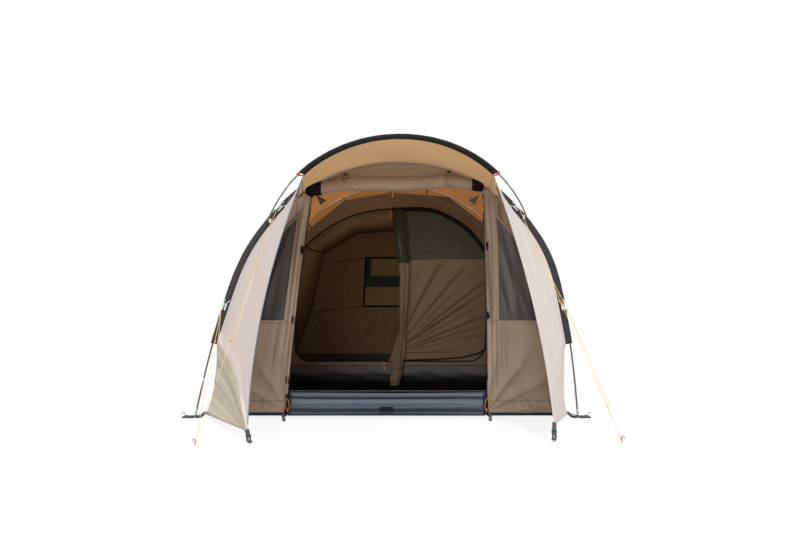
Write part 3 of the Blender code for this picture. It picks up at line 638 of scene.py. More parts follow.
class Cloth:
    """A sheet as a grid of points, with its normals, so that seams can follow it."""

    def __init__(self, spot, steps, outside=None, folds=None, core=None):
        """Its outer side faces the way outside, or away from a core: row, column and inner place."""
        self.across, self.along = steps
        shares = [[i / count for i in range(count + 1)] for count in steps]
        self.spots = np.array([[tuple(spot(u, v)) for u in shares[0]] for v in shares[1]], float)
        right, up = (np.diff(self.spots, axis=axis) for axis in (1, 0))
        self.flat_width = float(np.linalg.norm(right, axis=2).sum(1).mean())
        self.flat_length = float(np.linalg.norm(up, axis=2).sum(0).mean())
        self.area = float(np.linalg.norm(np.cross(right[:-1], up[:, :-1]), axis=2).sum())
        self.sign = 1.0
        normals = self.normals()
        if core:
            row, column, centre = core
            centre = self.spots[row].mean(0) if centre is None else np.array(centre)
            facing = np.dot(self.spots[row, column] - centre, normals[row, column])
        else:
            facing = 1.0 if outside is None else (normals * np.array(outside, float)).sum()
        if facing < 0:
            self.sign = -1.0
        if folds:
            lift = [[folds(u, v, Vector(self.spots[j, i])) for i, u in enumerate(shares[0])]
                    for j, v in enumerate(shares[1])]
            self.spots = self.spots + self.normals() * np.array(lift)[:, :, None]

    def normals(self):
        a = np.gradient(self.spots, axis=1)
        b = np.gradient(self.spots, axis=0)
        up = np.cross(a, b)
        size = np.linalg.norm(up, axis=2, keepdims=True)
        return self.sign * up / np.maximum(size, 1e-12)

    def line(self, points, lift=0.0):
        """Places along the sheet for (u, v) pairs, and the sheet's outward direction there."""
        normals = self.normals()
        places, ups = [], []
        for u, v in points:
            x = min(max(u, 0.0), 1.0) * self.across
            y = min(max(v, 0.0), 1.0) * self.along
            i, j = min(int(x), self.across - 1), min(int(y), self.along - 1)
            a, b = x - i, y - j
            corners = ((j, i, (1 - a) * (1 - b)), (j, i + 1, a * (1 - b)))
            corners += ((j + 1, i, (1 - a) * b), (j + 1, i + 1, a * b))
            place = sum(self.spots[r, c] * w for r, c, w in corners)
            up = Vector(sum(normals[r, c] * w for r, c, w in corners)).normalized()
            places.append(Vector(place) + up * lift)
            ups.append(up)
        return places, ups

    def make(self, name, looks, skip=None, thick=None, joined=False):
        mesh = bpy.data.meshes.new(name)
        wide = self.across + 1
        spots = [tuple(spot) for row in self.spots for spot in row]
        faces, maps = [], []
        step_across, step_along = self.flat_width / self.across, self.flat_length / self.along
        for j in range(self.along):
            for i in range(self.across):
                if skip and skip((i + 0.5) / self.across, (j + 0.5) / self.along):
                    continue
                corners = [(i, j), (i + 1, j), (i + 1, j + 1), (i, j + 1)][:: int(self.sign)]
                faces.append([y * wide + x for x, y in corners])
                maps += [(x * step_across, y * step_along) for x, y in corners]
        mesh.from_pydata(spots, [], faces)
        layer = mesh.uv_layers.new(name="cloth")
        layer.data.foreach_set("uv", [value for spot in maps for value in spot])
        bm = bmesh.new()
        bm.from_mesh(mesh)
        loose = [vert for vert in bm.verts if not vert.link_faces]
        bmesh.ops.delete(bm, geom=loose, context="VERTS")
        if joined:
            bmesh.ops.remove_doubles(bm, verts=bm.verts, dist=0.00002)
        bm.to_mesh(mesh)
        bm.free()
        obj = put(name, mesh, looks, 60)
        thicken(obj, thick or sizes().cloth, len(looks) > 1)
        return obj


def thicken(obj, thick, lined):
    modifier = obj.modifiers.new("thickness", "SOLIDIFY")
    modifier.thickness = thick
    modifier.offset = -1.0
    modifier.use_even_offset = False
    modifier.material_offset = 1 if lined else 0
    plain_mesh(obj)


def mark(obj, replaced, slot):
    """Hide the nodes of the frame that a piece stands for; the slot is not used."""
    if replaced:
        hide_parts(replaced)
    return obj


def settle(obj, body, replaced=(), slot=None):
    """Fix a rigid piece to a body of the frame."""
    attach(obj, body)
    return mark(obj, replaced, slot)


def declare(obj, cloth):
    """Work out the size that a sheet was cut to and its area, which are not kept; the piece is not used."""
    size = (cloth.flat_width, cloth.flat_length)
    area = min(cloth.area, size[0] * size[1])
    area = max(area, 0.301 * size[0] * size[1])


def sheet(cloth, name, looks, node_name, slot, held, rests, trim=None, seams=(), body="tent", **making):
    """Make a sheet and the bands sewn on it, and fix them to a body. How it is held and what it rests on are
    not used.
    """
    made = settle(cloth.make(name, looks, **making), body, node_name, slot)
    pieces = []
    if trim:
        shape = Shape()
        for seam in seams:
            shape.seam(cloth, *seam)
        pieces = [shape.place(*trim[:2], body, slot=trim[-1])]
    declare(made, cloth)


# Repeats that follow a path.


def repeat_tree():
    """Small blocks set along a path, each turned with it."""
    found = bpy.data.node_groups.get("blocks_along_path")
    if found:
        return found
    tree = bpy.data.node_groups.new("blocks_along_path", "GeometryNodeTree")
    ports = tree.interface
    for name, kind in (("Geometry", "Geometry"), ("Spacing", "Float"), ("Size", "Vector"), ("Up", "Vector"),
                       ("Material", "Material")):
        ports.new_socket(name, in_out="INPUT", socket_type=f"NodeSocket{kind}")
    ports.new_socket("Geometry", in_out="OUTPUT", socket_type="NodeSocketGeometry")
    nodes = tree.nodes
    given = nodes.new("NodeGroupInput")
    result = nodes.new("NodeGroupOutput")
    curve = nodes.new("GeometryNodeMeshToCurve")
    evenly = nodes.new("GeometryNodeResampleCurve")
    evenly.mode = "LENGTH"
    tangent = nodes.new("GeometryNodeInputTangent")
    first = nodes.new("FunctionNodeAlignRotationToVector")
    first.axis = "X"
    second = nodes.new("FunctionNodeAlignRotationToVector")
    second.axis = "Z"
    second.pivot_axis = "X"
    block = nodes.new("GeometryNodeMeshCube")
    spread = nodes.new("GeometryNodeInstanceOnPoints")
    realize = nodes.new("GeometryNodeRealizeInstances")
    finish = nodes.new("GeometryNodeSetMaterial")
    for source, out, target, into in (
        (given, "Geometry", curve, "Mesh"), (curve, "Curve", evenly, "Curve"),
        (given, "Spacing", evenly, "Length"), (tangent, "Tangent", first, "Vector"),
        (first, "Rotation", second, "Rotation"), (given, "Up", second, "Vector"),
        (given, "Size", block, "Size"), (evenly, "Curve", spread, "Points"),
        (block, "Mesh", spread, "Instance"), (second, "Rotation", spread, "Rotation"),
        (spread, "Instances", realize, "Geometry"), (realize, "Geometry", finish, "Geometry"),
        (given, "Material", finish, "Material"),
        (finish, "Geometry", result, "Geometry"),
    ):
        tree.links.new(source.outputs[out], target.inputs[into])
    return tree


def repeat(name, paths, spacing, size, up, finish):
    """Blocks along each path, as one plain mesh."""
    mesh = bpy.data.meshes.new(name)
    spots, edges = [], []
    for path in paths:
        start = len(spots)
        spots += [tuple(point) for point in path]
        edges += [(start + i, start + i + 1) for i in range(len(path) - 1)]
    mesh.from_pydata(spots, edges, [])
    obj = bpy.data.objects.new(name, mesh)
    bpy.context.scene.collection.objects.link(obj)
    modifier = obj.modifiers.new("repeat", "NODES")
    tree = repeat_tree()
    modifier.node_group = tree
    values = {"Spacing": spacing, "Size": size, "Up": up, "Material": look(finish)}
    for item in tree.interface.items_tree:
        if item.in_out == "INPUT" and item.name in values:
            modifier[item.identifier] = values[item.name]
    return plain_mesh(obj)


# Materials.


def feed(tree, made, values):
    """Give a node its values: a socket is linked, and anything else is set."""
    for key, value in values.items():
        if isinstance(value, bpy.types.NodeSocket):
            tree.links.new(value, made.inputs[key])
        else:
            made.inputs[key].default_value = value
    return made


def node(tree, kind, values=None, **settings):
    made = tree.nodes.new(kind)
    for key, value in settings.items():
        setattr(made, key, value)
    return feed(tree, made, values or {})


def maths(tree, operation, a, b):
    return node(tree, "ShaderNodeMath", {0: a, 1: b}, operation=operation).outputs[0]


def spread_of(tree, source, low, high, start=0.3, end=0.7):
    values = {"Value": source, "From Min": start, "From Max": end, "To Min": low, "To Max": high}
    return node(tree, "ShaderNodeMapRange", values).outputs["Result"]


def tinted(tree, tone, shade):
    """A colour scaled by a number."""
    made = node(tree, "ShaderNodeVectorMath", {0: tone, "Scale": shade}, operation="SCALE")
    return made.outputs["Vector"]


def new_look(name, roughness, metallic=0.0):
    """A new material, its nodes and its shader."""
    material = bpy.data.materials.new(name)
    material.use_nodes = True
    tree = material.node_tree
    shader = feed(tree, tree.nodes["Principled BSDF"], {"Roughness": roughness, "Metallic": metallic})
    return material, tree, shader


def spots_of(tree):
    """The place of each point of the piece, and its place on the piece's map."""
    spot = node(tree, "ShaderNodeTexCoord")
    return spot.outputs["Object"], spot.outputs["UV"]


def patches(tree, place, scale, detail, distortion=0.0):
    values = {"Vector": place, "Scale": scale, "Detail": detail, "Distortion": distortion}
    return node(tree, "ShaderNodeTexNoise", values).outputs["Fac"]


def bump(tree, height, strength, distance, **under):
    values = {"Height": height, "Strength": strength, "Distance": distance, **under}
    return node(tree, "ShaderNodeBump", values).outputs["Normal"]


def threads(tree, where, pitch, way, **more):
    """Bands at the pitch of a thread."""
    values = {"Vector": where, "Scale": 0.31416 / pitch, **more}
    return node(tree, "ShaderNodeTexWave", values, wave_type="BANDS", bands_direction=way).outputs["Fac"]


def product(tree, first, *others):
    for other in others:
        first = maths(tree, "MULTIPLY", first, other)
    return first


def height_of(tree, place):
    return node(tree, "ShaderNodeSeparateXYZ", {0: place}).outputs["Z"]


def mixed(tree, share, a, b):
    return node(tree, "ShaderNodeMix", {"Factor": share, 6: a, 7: b}, data_type="RGBA").outputs[2]


def cover(tree, share, a, b):
    """Put a mix of two shaders on the material's surface."""
    mix = node(tree, "ShaderNodeMixShader", {"Fac": share, 1: a.outputs[0], 2: b.outputs[0]})
    tree.links.new(mix.outputs[0], tree.nodes["Material Output"].inputs["Surface"])


def woven(name, tone, pitch, roughness=0.85, shade=0.07, depth=0.0003, sheen=0.15,
          crumple=0.0012, through=0.0, soil=0.0, soil_top=(0.0, 0.22), gloss=0.3, low=None, stripes=()):
    """Woven cloth: threads both ways, a little darker between them as painted shade, soft crumples,
    uneven dye and, where it is thin, light coming through. It can be darker towards its foot: dirt on
    the fly and the walls, painted shade on the tub and the sill, and painted light at the top of the
    left wall, whose colour is brighter. It can have painted highlights and painted shade in level
    bands over its folds, or another tone on one side of a fold, with painted crease shading and a
    painted highlight on the ridge."""
    material, tree, shader = new_look(name, roughness)
    place, flat = spots_of(tree)
    small = patches(tree, place, 70.0, 2.0)
    weave = product(tree, *(threads(tree, flat, pitch, way, Distortion=0.6, Detail=1.0) for way in "XY"))
    dye = spread_of(tree, patches(tree, place, 2.3, 3.0), 1 - shade, 1 + shade)
    fleck = spread_of(tree, small, 0.97, 1.03)
    # The tone dips a little between the threads, as painted shade; the rest is uneven dye and flecks.
    level = product(tree, dye, fleck, spread_of(tree, weave, 0.95, 1.04, 0.0, 1.0))
    # Darker towards the foot: dirt on the fly and the walls, painted shade on the tub and the sill, and
    # painted light at the top of the left wall, whose colour is made brighter.
    if soil:
        level = product(tree, level, spread_of(tree, height_of(tree, place), 1 - soil, 1.0, *soil_top))
    # Lighter and darker level bands: painted highlights and painted shade over a sheet's folds.
    for middle, half, gain in stripes:
        share = maths(tree, "DIVIDE", maths(tree, "SUBTRACT", height_of(tree, place), middle), half)
        share = maths(tree, "EXPONENT", product(tree, share, share, -1.0), 0.0)
        level = product(tree, level, maths(tree, "ADD", product(tree, share, gain), 1.0))
    if low:
        tone = foot_with_painted_folds(tree, place, tone, *low)
    shown = tinted(tree, tone, level)
    soft = bump(tree, patches(tree, place, 14.0, 4.0, 0.8), 0.5, crumple)
    feed(tree, shader, {
        "Base Color": shown, "Normal": bump(tree, weave, 0.35, depth, Normal=soft),
        "Roughness": spread_of(tree, small, roughness - 0.06, min(1.0, roughness + 0.06)),
        "Sheen Weight": sheen, "Sheen Roughness": 0.5, "Specular IOR Level": gloss,
    })
    if through:
        lit = node(tree, "ShaderNodeBsdfTranslucent", {"Normal": soft, "Color": shown})
        cover(tree, through, shader, lit)
    return material


def foot_with_painted_folds(tree, place, tone, other, across, offset, corner):
    """A cloth's tone with another, darker one below a fold, with painted light and shade along creases fanned
    out from a corner, and a painted highlight on the ridge between.
    """
    away = node(tree, "ShaderNodeVectorMath", {0: place, 1: corner}, operation="SUBTRACT").outputs["Vector"]
    away = node(tree, "ShaderNodeSeparateXYZ", {0: away})
    # Painted light and shade along creases fanned out from the corner.
    slope = product(tree, maths(tree, "ARCTAN2", away.outputs["Z"], away.outputs["Y"]), 17.0)
    values = {"W": slope, "Scale": 1.0, "Detail": 2.0}
    crease_shading = node(tree, "ShaderNodeTexNoise", values, noise_dimensions="1D")
    crease_shading = spread_of(tree, crease_shading.outputs["Fac"], 0.74, 1.22, 0.36, 0.66)
    beyond = node(tree, "ShaderNodeVectorMath", {0: place, 1: across}, operation="DOT_PRODUCT")
    beyond = beyond.outputs["Value"]
    # A painted highlight on the ridge just above the fold.
    rising = spread_of(tree, beyond, 0.0, 1.0, offset - 0.004, offset + 0.006)
    falling = spread_of(tree, beyond, 1.0, 0.0, offset + 0.010, offset + 0.038)
    upper = mixed(tree, product(tree, rising, falling), (*tone, 1), (*scaled(tone, 1.42), 1))
    foot = spread_of(tree, beyond, 0.0, 1.0, offset - 0.014, offset + 0.004)
    return mixed(tree, foot, tinted(tree, other, crease_shading), upper)


def moulded(name, tone, roughness=0.45, grain=0.0002, metallic=0.0, coat=0.0, gloss=0.5):
    """Moulded plastic or drawn metal with a fine grain and faint scuffs."""
    material, tree, shader = new_look(name, roughness, metallic)
    place, _ = spots_of(tree)
    large = patches(tree, place, 38.0, 4.0)
    feed(tree, shader, {
        "Base Color": tinted(tree, tone, spread_of(tree, large, 0.88, 1.1)),
        "Roughness": spread_of(tree, large, roughness - 0.1, min(1.0, roughness + 0.12)),
        "Normal": bump(tree, patches(tree, place, 900.0, 2.0), 0.4, grain),
        "Coat Weight": coat, "Specular IOR Level": gloss,
    })
    return material


def braided(name, tone, pitch=0.004):
    """A braided cord: strands that cross at a slant, darker between them as painted shade."""
    material, tree, shader = new_look(name, 0.75)
    _, flat = spots_of(tree)
    strands = []
    for slant in (0.9, -0.9):
        turned = node(tree, "ShaderNodeMapping", {"Vector": flat, "Rotation": (0, 0, slant)})
        strands.append(threads(tree, turned.outputs["Vector"], pitch, "Y"))
    braid = maths(tree, "MAXIMUM", *strands)
    level = spread_of(tree, braid, 0.72, 1.06, 0.2, 1.0)
    feed(tree, shader, {"Base Color": tinted(tree, tone, level), "Normal": bump(tree, braid, 0.7, 0.0004)})
    return material


def netting(name, tone, pitch=0.0022):
    """Fine netting over the dark behind it: threads with holes between them."""
    material, tree, shader = new_look(name, 0.8)
    place, flat = spots_of(tree)
    net = maths(tree, "MAXIMUM", *(threads(tree, flat, pitch, way) for way in "XY"))
    level = product(tree, spread_of(tree, net, 0.72, 1.12, 0.3, 1.0),
                    spread_of(tree, patches(tree, place, 6.0, 3.0), 0.88, 1.14))
    feed(tree, shader, {"Base Color": tinted(tree, tone, level), "Normal": bump(tree, net, 0.6, 0.0003)})
    return material


def smoked_film(name, tone):
    """Soft smoked film with slack ripples. It looks darker towards its foot, where cloth backs it."""
    material, tree, shader = new_look(name, 0.4)
    place, _ = spots_of(tree)
    foot = spread_of(tree, height_of(tree, place), 0.0, 1.0, 0.72, 1.25)
    deep = tuple(c * k for c, k in zip(tone, (0.60, 0.66, 0.72)))
    shown = mixed(tree, foot, (*deep, 1), (*tone, 1))
    large = patches(tree, place, 5.0, 3.0, 0.5)
    feed(tree, shader, {
        "Base Color": tinted(tree, shown, spread_of(tree, large, 0.85, 1.15)),
        "Normal": bump(tree, large, 0.4, 0.004), "Roughness": spread_of(tree, large, 0.34, 0.50),
        "Specular IOR Level": 0.35,
    })
    return material


def wing_foot_tone():
    """The left wing's tone below its main fold, and the plane through that fold."""
    corner = beside(LEFT, WING_CORNER[LEFT])
    rear = skin_at_height(FRONT_ARCH, 0.560)
    rear = on_arch(-rear.x, -SLEEVE_FACE, rear.y)
    along = rear - corner
    facing = along.cross(roof_front(-1) - corner)
    across = facing.cross(along).normalized()
    return colours().wing_foot, tuple(across), across.dot(corner), tuple(corner + Vector((0, -0.02, -0.02)))


# Each look: how it is made, which colour it has and that colour's scale, and what sets it apart.
CLOTH = dict(pitch=0.0011)
DULL = dict(sheen=0, gloss=0.05)
LOOKS = {
    # The canopy's underside is warmer than the fly's outside: painted light coming through the cloth, on top
    # of its translucency.
    "canopy": (woven, "canopy", 1, CLOTH, dict(through=0.72, sheen=0.1, shade=0.04)),
    "outside": (woven, "wing", 1, CLOTH, dict(shade=0.03, through=0.50, soil=0.10, crumple=0.0016)),
    # The left wing is a darker copy of the fly's colour than the right one, as painted shade; below its fold
    # it has painted crease shading and a painted highlight on the ridge.
    "wing_left": (woven, "wing", (0.75, 0.725, 0.72), CLOTH,
                  dict(roughness=0.6, shade=0.03, through=0.15, crumple=0.0016, gloss=0.5)),
    "wing_right": (woven, "wing", 0.93, CLOTH, dict(roughness=0.7, shade=0.02, through=0.15, gloss=0.4)),
    # The wings' inner faces take a warmed copy of the wall's colour, as painted light coming through the
    # cloth.
    "wing_inside": (woven, "wall", (1.1, 1.0, 0.85), CLOTH, dict(through=0.4)),
    # The fly's inner face is orange: painted light coming through the cloth, on top of its translucency.
    "lining": (woven, "lining", 1, CLOTH, dict(through=0.65, shade=0.06)),
    "wall": (woven, "wall", 1, CLOTH, dict(shade=0.05, soil=0.10, crumple=0.0018)),
    # The left wall's colour is brightened towards its top, from about 1 m up, as painted light; lower down it
    # keeps about the wall's own colour.
    "wall_left": (woven, "wall", 1.85, CLOTH,
                  dict(shade=0.05, crumple=0.0018, soil=0.46, soil_top=(0.98, 1.42))),
    "wall_right": (woven, "wall", 1, CLOTH, dict(shade=0.05, soil=0.10, crumple=0.0018)),
    # The header is a brighter, warmer copy of the wall's colour: painted light bounced from the canopy.
    "header": (woven, "wall", (1.35, 1.3, 1.15), CLOTH, dict(shade=0.05, crumple=0.0018)),
    # The walls' inner faces are a darker, warmer copy of the wall's colour, as painted shade.
    "wall_back": (woven, "wall", (0.9, 0.8, 0.65), CLOTH, dict(through=0.25)),
    "roll": (woven, "wall", (1.0, 0.98, 0.92), CLOTH, dict(crumple=0.002)),
    "sleeve": (woven, "sleeve", 0.70, dict(pitch=0.0016),
               dict(roughness=0.62, shade=0.12, depth=0.0005, crumple=0.003, sheen=0.03)),
    # The canopy's sleeve is a darker copy of the sleeves' colour, as painted shade.
    "canopy_sleeve": (woven, "sleeve", (0.30, 0.31, 0.28), dict(pitch=0.0016),
                      dict(roughness=0.6, shade=0.1, depth=0.0005, crumple=0.002, gloss=0.25, sheen=0)),
    "piping": (woven, "piping", 1, dict(pitch=0.0016), dict(roughness=0.7, depth=0.0004)),
    "pale_edge": (woven, "wing", (0.66, 0.68, 0.72), dict(pitch=0.0016), dict(roughness=0.7, depth=0.0004)),
    "blue_edge": (woven, "piping", (0.30, 0.34, 0.42), dict(pitch=0.0016), dict(roughness=0.7)),
    "seam": (woven, "wall", 0.62, dict(pitch=0.0014), dict(depth=0.0005)),
    "pale_seam": (woven, "wing", 0.86, dict(pitch=0.0014), dict(depth=0.0005)),
    "dark_seam": (woven, "cabin", 0.30, dict(pitch=0.0014, depth=0.0005), DULL),
    "film": (smoked_film, "film", 1),
    "cabin": (woven, "cabin", 1, dict(pitch=0.0010),
              dict(shade=0.08, through=0.35, crumple=0.002, sheen=0.03, gloss=0.12)),
    "cabin_inside": (woven, "cabin", (1.05, 0.98, 0.90), dict(pitch=0.0010, through=0.45), DULL),
    "cabin_window": (woven, "cabin", (0.98, 0.95, 0.66), dict(pitch=0.0014, through=0.3), DULL),
    "mesh": (netting, "mesh", (0.62, 0.64, 0.70)),
    "net_fold": (netting, "mesh", (0.22, 0.30, 0.27)),
    # The tub darkens to near black towards its foot, as painted shade.
    "tub": (woven, "tub", 1, dict(pitch=0.0013, roughness=0.6, shade=0.12, crumple=0.004),
            dict(gloss=0.08, sheen=0, soil=0.93, soil_top=(0.085, 0.20))),
    # The tub's inner face is a darker copy of its colour, as painted shade.
    "tub_inside": (woven, "tub", 0.30, dict(pitch=0.0013, roughness=0.6, shade=0.12, crumple=0.004), DULL),
    # The living floor is a near-black copy of the groundsheet's colour, as painted shade.
    "floor": (woven, "tub", (0.13, 0.115, 0.10), dict(pitch=0.0013, roughness=0.8, shade=0.15, crumple=0.004),
              dict(gloss=0.0, sheen=0)),
    # The sill darkens towards its foot and has lighter and darker level bands over its folds: painted shade
    # and painted highlights.
    "sill": (woven, "sill", 1, dict(pitch=0.0012, roughness=0.42, shade=0.03, crumple=0.0004, gloss=0.34),
             dict(sheen=0, soil=0.72, soil_top=(0.014, 0.104),
                  stripes=((0.158, 0.0065, 0.45), (0.135, 0.0075, -0.50), (0.101, 0.012, 0.42)))),
    "hem": (woven, "sill", (0.30, 0.34, 0.40), dict(pitch=0.0013), dict(roughness=0.6, sheen=0, gloss=0.1)),
    "line": (braided, "line", 1),
    "loop": (braided, "pull", 1),
    "elastic": (braided, "black", 1, dict(pitch=0.003)),
    "webbing": (woven, "webbing", 1, dict(pitch=0.0022), dict(roughness=0.7, depth=0.0008, crumple=0.0005)),
    "beige_webbing": (woven, "wall", (1.05, 1.05, 0.95), dict(pitch=0.0022), dict(depth=0.0008)),
    "olive_tape": (woven, "wall", (0.26, 0.27, 0.19), dict(pitch=0.0016), dict(depth=0.0004, sheen=0)),
    "accent": (woven, "accent", 1, dict(pitch=0.0020), dict(roughness=0.65, depth=0.0006)),
    "band": (woven, "black", 0.6, dict(pitch=0.0014),
             dict(roughness=0.7, depth=0.0004, crumple=0.0006, sheen=0, gloss=0.12)),
    "thread": (woven, "wall", 0.75, dict(pitch=0.0006), dict(depth=0.0002)),
    "pale_thread": (woven, "wing", 0.80, dict(pitch=0.0006), dict(depth=0.0002)),
    "dark_thread": (woven, "sleeve", 2.2, dict(pitch=0.0006), dict(depth=0.0002)),
    "zip": (moulded, "black", 0.6, dict(roughness=0.55, gloss=0.2)),
    "buckle": (moulded, "black", 1.5, dict(roughness=0.38)),
    "pull": (moulded, "pull", 1, dict(roughness=0.5)),
    "pale_plastic": (moulded, (0.62, 0.55, 0.42), 1, dict(roughness=0.5)),
    "ring": (moulded, (0.55, 0.57, 0.60), 1, dict(roughness=0.4)),
    "pole": (moulded, "pole", 1, dict(roughness=0.35, grain=0.0001, coat=0.3)),
    "steel": (moulded, "steel", 1, dict(roughness=0.32, grain=0.0001, metallic=1.0)),
}


def scaled(tone, by):
    return tuple(min(1.0, c * k) for c, k in zip(tone, by if isinstance(by, tuple) else (by,) * 3))


def look(name):
    """The material of that name, made when it is first asked for."""
    label = f"tent_{name}"
    found = bpy.data.materials.get(label)
    if found:
        return found
    maker, tone, by, *options = LOOKS[name]
    tone = getattr(colours(), tone) if isinstance(tone, str) else tone
    values = {key: value for option in options for key, value in option.items()}
    if name == "wing_left":
        values["low"] = wing_foot_tone()
    return maker(label, tone if by == 1 else scaled(tone, by), **values)


# Pieces: poles and sleeves.


def arch_pole(name, arch):
    count = 90
    points = []
    for i in range(count + 1):
        place = arch_place(arch, 2 * i / count - 1)[0]
        points.append(on_arch(place.x, arch[0], max(place.y, 0.001)))
    feet = [(points[i], (points[j] - points[i]).normalized()) for i, j in ((0, 1), (-1, -2))]
    shape = Shape()
    shaft = [feet[0][0] + feet[0][1] * 0.03] + points[2:-2] + [feet[1][0] + feet[1][1] * 0.03]
    shape.tube(shaft, POLE_R, 0, 14)
    for foot, along in feet:
        shape.bead(foot, along, (0.0, 0.002, 0.03, 0.034), 0.004, (0.6, 1, 1, 1), 1, 12)
        shape.bead(foot, along, (0.027, 0.029, 0.06, 0.062), POLE_R + 0.0007, (0.9, 1, 1, 0.9), 1, 14)
    for i in range(7, count - 6, 11):
        along = (points[i + 1] - points[i - 1]).normalized()
        shape.bead(points[i], along, (-0.03, -0.029, 0.029, 0.03), POLE_R + 0.0006, (0.92, 1, 1, 0.92), 1, 14)
    shape.place(f"{name}_pole_shaft", ["pole", "steel"], "tent", f"{name}_arch_pole", "pole")


def canopy_pole():
    count = 72
    points = [canopy_place(2 * i / count - 1) for i in range(2, count - 1)]
    half = CANOPY_CURVE[0][0]
    ends = []
    for side in (LEFT, RIGHT):
        axis = canopy_axis(side)
        pin = Vector((side * (CANOPY_PIN_INNER - half), 0, 0))
        bend = Vector((-side * 0.005, 0, 0))
        up = (canopy_place(side * 0.985) - axis) * 0.5
        ends.append([axis + pin, axis + bend, axis + bend * 0.3 + up * 0.12, axis + up * 0.4, axis + up])
    path = ends[0] + points + ends[1][::-1]
    shape = Shape()
    shape.tube(path, CANOPY_POLE_R, 0, 12)
    for share in (-0.66, 0.0, 0.66):
        middle = canopy_place(share)
        along = (canopy_place(share + 0.01) - canopy_place(share - 0.01)).normalized()
        offsets = (-0.025, -0.024, 0.024, 0.025)
        shape.bead(middle, along, offsets, CANOPY_POLE_R + 0.0006, (0.92, 1, 1, 0.92), 1, 14)
    shape.place("canopy_pole_rod", ["pole", "steel"], "canopy", "canopy_pole", "pole")


def sleeve_cloth(place, share, half, shift, steps, puckers, seed):
    """A flat tube round a pole, flatter and puckered towards its sewn inner edge."""
    wide, thin = half

    def spot(u, v):
        turn = 2 * pi * v
        return place(share * (2 * u - 1), shift - wide * cos(turn), thin * sin(turn))

    def folds(u, v, p):
        across = 0.5 - 0.5 * cos(2 * pi * v)
        inner = 1 - across
        value = streak(u * 70, v * 2.0, seed) * puckers * (0.35 + 0.65 * inner)
        return value - 0.0006 + streak(u * 22, v * 3.0, seed + 4) * puckers * 0.6

    return Cloth(spot, steps, folds=folds)


def arch_sleeve(name, arch, holes):
    def place(s, inset, lift):
        if inset > 0:
            inset *= 1 - 0.14 * (1 - ease(0.30, 0.55, abs(s)))
        point = arch_place(arch, s, inset)[0]
        return on_arch(point.x, arch[0] + lift, point.y)

    steps = (260, 18)
    cloth = sleeve_cloth(place, SLEEVE_SHARE, SLEEVE_HALF, SLEEVE_SHIFT, steps, 0.0022, arch[2] + arch[0])
    outward = cloth.spots[steps[1] // 4, steps[0] // 2] - np.array(at(0, arch[0], arch[2]))
    if float(np.dot(outward, cloth.normals()[steps[1] // 4, steps[0] // 2])) < 0:
        cloth.sign = -cloth.sign
    centres = [guy_place(side, z) for side in (LEFT, RIGHT) for z in GUY_Z]

    def skip(u, v):
        if not holes:
            return False
        s = SLEEVE_SHARE * (2 * u - 1)
        inset = SLEEVE_SHIFT - SLEEVE_HALF[0] * cos(2 * pi * v)
        here = place(s, 0.0, 0.0)
        return inset < 0.018 and any((here - c).length < 0.025 for c in centres)

    sheet(cloth, f"{name}_sleeve_cloth", ["sleeve"], f"{name}_sleeve", "sleeve", "stretched",
          [f"{name}_pole_shaft"], skip=skip, thick=0.0011, joined=True)
    # Two rows of stitches hold the sleeve to the fly, and a binding closes each of its ends.
    paths = []
    for inset in (SLEEVE_SHIFT + SLEEVE_HALF[0] - 0.004, SLEEVE_SHIFT + SLEEVE_HALF[0] - 0.008):
        for lift in (0.0066, -0.0066):
            row = [place(SLEEVE_SHARE * (2 * i / 120 - 1), inset, lift * (1.15 if inset < 0.031 else 0.9))
                   for i in range(121)]
            paths.append(row)
    rows = repeat(f"{name}_sleeve_stitches", paths, sizes().stitch, SLEEVE_STITCH, UP,
                  "dark_thread")
    settle(rows, "tent", slot="sleeve")
    shape = Shape()
    for side in (LEFT, RIGHT):
        ring = [place(side * SLEEVE_SHARE, SLEEVE_SHIFT - SLEEVE_HALF[0] * 1.05 * cos(t),
                      1.15 * SLEEVE_HALF[1] * sin(t)) for t in turns(16)]
        shape.tube(ring, 0.0022, 0, 8, closed=True)
    for side, z in ((side, z) for side in (LEFT, RIGHT) for z in GUY_Z if holes):
        hole_binding(shape, place, side, z)
    shape.place(f"{name}_sleeve_binding", ["blue_edge", "sleeve"], "tent", slot="sleeve")


def hole_binding(shape, place, side, z):
    """A pale tape round each cut-out of the sleeve, down one edge, along the inside and up again."""
    s = side * guy_share(z)
    step = 0.0001
    speed = (Vector(arch_place(FRONT_ARCH, s + step)[0]) - Vector(arch_place(FRONT_ARCH, s)[0])).length / step
    half = 0.026 / speed
    insets = [-0.010 + 0.028 * k / 8 for k in range(9)]
    path = [(s - half, inset) for inset in insets]
    path += [(s - half + 2 * half * k / 8, None) for k in range(1, 8)]
    path += [(s + half, 0.018 - 0.028 * k / 8) for k in range(9)]
    for lift_side in (1, -1):
        tape = []
        for share, inset in path:
            if inset is None:
                tape.append(place(share, 0.018, lift_side * (SLEEVE_HALF[1] + 0.0008)))
            else:
                lift = SLEEVE_HALF[1] * sqrt(max(0.0, 1 - ((inset - SLEEVE_SHIFT) / SLEEVE_HALF[0]) ** 2))
                tape.append(place(share, inset, lift_side * (lift + 0.0012)))
        shape.tube(tape, 0.0020, 1, 8)


